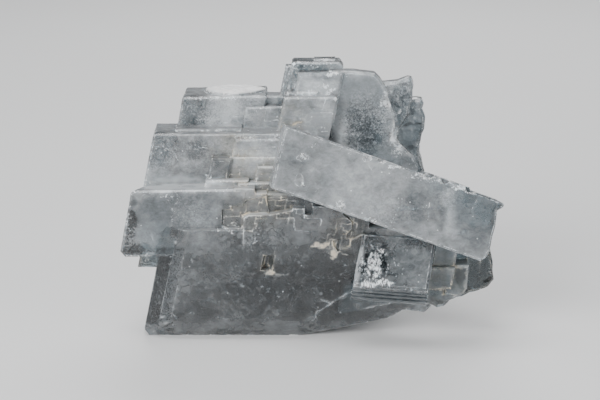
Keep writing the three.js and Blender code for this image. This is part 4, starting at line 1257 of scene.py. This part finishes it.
def barite(name, milk, absorption, haze, grain=(1, 1, 1)):
    """Cloudy barite. milk is the colour of its cloudy parts, absorption is how fast light fades in its clear
    parts, per metre, haze is its surface roughness, and grain stretches its crackle."""
    n = Nodes(name)
    crackle, smoky = n.grade("crackle"), n.grade("smoky")
    pale, crust, broken = n.grade("pale"), n.grade("crust"), n.grade("broken")

    # The body: cloudy wisps, the crackle's mottling, smoky depths with some painted shade, and pale faces
    # with some painted light.
    wisp = n.noise(560, 6.0, stretch=(1, 1, 1.4), roughness=0.74, distortion=0.7)
    mottle = n.noise(2200, 4.0, stretch=grain, roughness=0.75, distortion=0.4)
    cloud = n.plus(n.grade("cloud"), n.times(n.minus(wisp, 0.5), 0.75))
    cloud = n.plus(cloud, n.times(n.minus(mottle, 0.52), n.times(crackle, 2.6)), clamp=True)
    grain_tone = n.math("MULTIPLY_ADD", mottle, n.times(crackle, 2.4), n.times(crackle, -1.2))
    smoky = n.minus(smoky, grain_tone, clamp=True)
    colour = n.mix(cloud, grey(0.7, COOL), milk)
    colour = n.mix(n.times(smoky, 0.97), colour, grey(0.014, DEEP))
    colour = n.mix(1.0, colour, n.mix(smoky, WHITE, (0.9, 1.0, 1.06, 1)), "MULTIPLY")
    colour = n.mix(pale, colour, grey(0.78, COOL))

    # What is white on it: frost, flecks, specks, the crackle's threads and the lines of edges and seams; the
    # edge lines are partly painted highlights.
    grains = n.times(n.noise(1700, 4.0, grain, 0.75), 1.1)
    frost = n.band(n.math("MULTIPLY_ADD", n.grade("frost"), 0.36, grains), 0.74, 0.96)
    flecks = n.flecks(420, 0.10, 0.35)
    specks = n.times(n.flecks(1300, 0.2, 0.3), n.band(n.noise(260, 3.0, roughness=0.7), 0.52, 0.7))
    threads = n.times(n.times(n.threads(650, 0.02, grain), n.band(n.noise(330, 2.0), 0.5, 0.62)), crackle)
    line = n.times(n.grade("line"), n.band(n.noise(700, 4.0), 0.2, 0.6))
    white = n.most(frost, n.times(flecks, 0.7), n.times(specks, 0.7), n.times(threads, 0.75), line)
    colour = n.mix(white, colour, n.mix(n.times(smoky, 0.5), grey(0.9, COOL), grey(0.3, COOL)))

    # What lies on it: the crust, and tan stains with a warm cast round them.
    colour = n.mix(crust, colour, n.mix(n.noise(1100, 4.0, roughness=0.7), grey(0.5), WHITE))
    stain = n.times(n.grade("stain"), n.band(n.noise(900, 4.0, roughness=0.7), 0.25, 0.5))
    colour = n.mix(stain, colour, n.mix(n.noise(1500, 3.0), grey(0.25, TAN), grey(0.8, TAN)))
    warm = n.times(n.grade("warm"), n.band(n.noise(300, 4.0), 0.35, 0.6))
    colour = n.mix(1.0, colour, n.mix(warm, WHITE, (1.0, 0.96, 0.88, 1)), "MULTIPLY")

    solid = n.most(white, stain, n.math("POWER", cloud, 2.1), pale, crust)
    rough = n.plus(n.times(n.most(white, crust), 0.3), haze)
    normal = n.bump(n.noise(900, 3.0, stretch=(0.25, 1, 1)), 0.2, 0.0002)
    normal = n.bump(n.noise(2600, 3.0), 0.35, 0.00008, normal)
    normal = n.bump(n.times(n.cells(420)["Distance"], broken), 0.8, 0.0009, normal)
    fading = n.add("ShaderNodeVolumeAbsorption", {"Color": FADING, "Density": absorption}).outputs[0]
    return n.finish({
        "Base Color": colour, "Roughness": n.plus(rough, n.times(broken, 0.1), clamp=True), "Normal": normal,
        "Transmission Weight": n.minus(0.98, solid, clamp=True), "IOR": BARITE_IOR,
        "Subsurface Weight": 1.0, "Subsurface Scale": 0.0004, "Subsurface Radius": (0.9, 1.0, 1.05),
    }, fading)


def speckled(name, scale, dark, light, rough):
    n = Nodes(name)
    return n.finish({"Base Color": n.mix(n.noise(scale, 2.0), dark, light), "Roughness": rough})


materials = {
    "stepped_cluster": barite("cloudy_barite", grey(0.47, COOL), 500.0, 0.1),
    "long_blade": barite("milky_barite", grey(0.42, COOL), 250.0, 0.16),
    "clear_tablet": barite("clear_barite", grey(0.45, COOL), 150.0, 0.05, grain=(1, 1, 0.12)),
}
crystals = {name: build_crystal(name, material) for name, material in materials.items()}
veil = speckled("veil", 800, grey(0.75, COOL), grey(0.95), 0.35)
build_veils(crystals["stepped_cluster"], "cluster_veils", 400, (0.6, 5), (0.05, 0.42), "cluster", veil, 17)
build_veils(crystals["clear_tablet"], "tablet_veils", 40, (0.6, 4), (0.08, 0.7), "clear", veil, 19)


# ---- Floor, lights and camera: places and sizes in metres ----

FLOOR_HALF = 3000  # mm
LIGHTS_AIM = (0, 0, 0.035)
LIGHTS = {  # place, size, power in watts
    "key": ((-0.45, -0.62, 0.36), (0.55, 0.45), 8.8),
    "fill": ((0.6, -0.45, 0.2), (0.5, 0.4), 2.0),
    "top": ((-0.12, -0.1, 0.75), (0.5, 0.4), 3.4),
    "rim": ((0.1, 0.6, 0.45), (0.6, 0.3), 3),
}
CAMERA_AIM = Vector((-2.7, -14.8, 36.8)) * MM
CAMERA_RISE = math.radians(14)
CAMERA_AWAY = 0.55


def aimed(name, data, place, target):
    made = linked(name, data)
    made.location = place
    made.rotation_euler = (Vector(target) - Vector(place)).to_track_quat("-Z", "Y").to_euler()
    return made


corners = [(x * FLOOR_HALF, y * FLOOR_HALF, 0) for x, y in ((-1, -1), (1, -1), (1, 1), (-1, 1))]
floor = meshed("floor", corners, [(0, 1, 2, 3)], speckled("pale_floor", 6, grey(0.78), grey(0.82), 0.6))

for name, (place, size, power) in LIGHTS.items():
    data = bpy.data.lights.new(name, "AREA")
    data.shape = "RECTANGLE"
    data.size, data.size_y = size
    data.energy = power
    aimed(name, data, place, LIGHTS_AIM)

world = bpy.data.worlds.new("studio")
world.use_nodes = True
world.node_tree.nodes["Background"].inputs["Color"].default_value = (0.8, 0.85, 0.9, 1)
world.node_tree.nodes["Background"].inputs["Strength"].default_value = 0.17
bpy.context.scene.world = world

data = bpy.data.cameras.new("camera")
data.lens = 132
data.sensor_width = 36
place = CAMERA_AIM + CAMERA_AWAY * Vector((0, -math.cos(CAMERA_RISE), math.sin(CAMERA_RISE)))
camera = aimed("camera", data, place, CAMERA_AIM)
bpy.context.scene.camera = camera
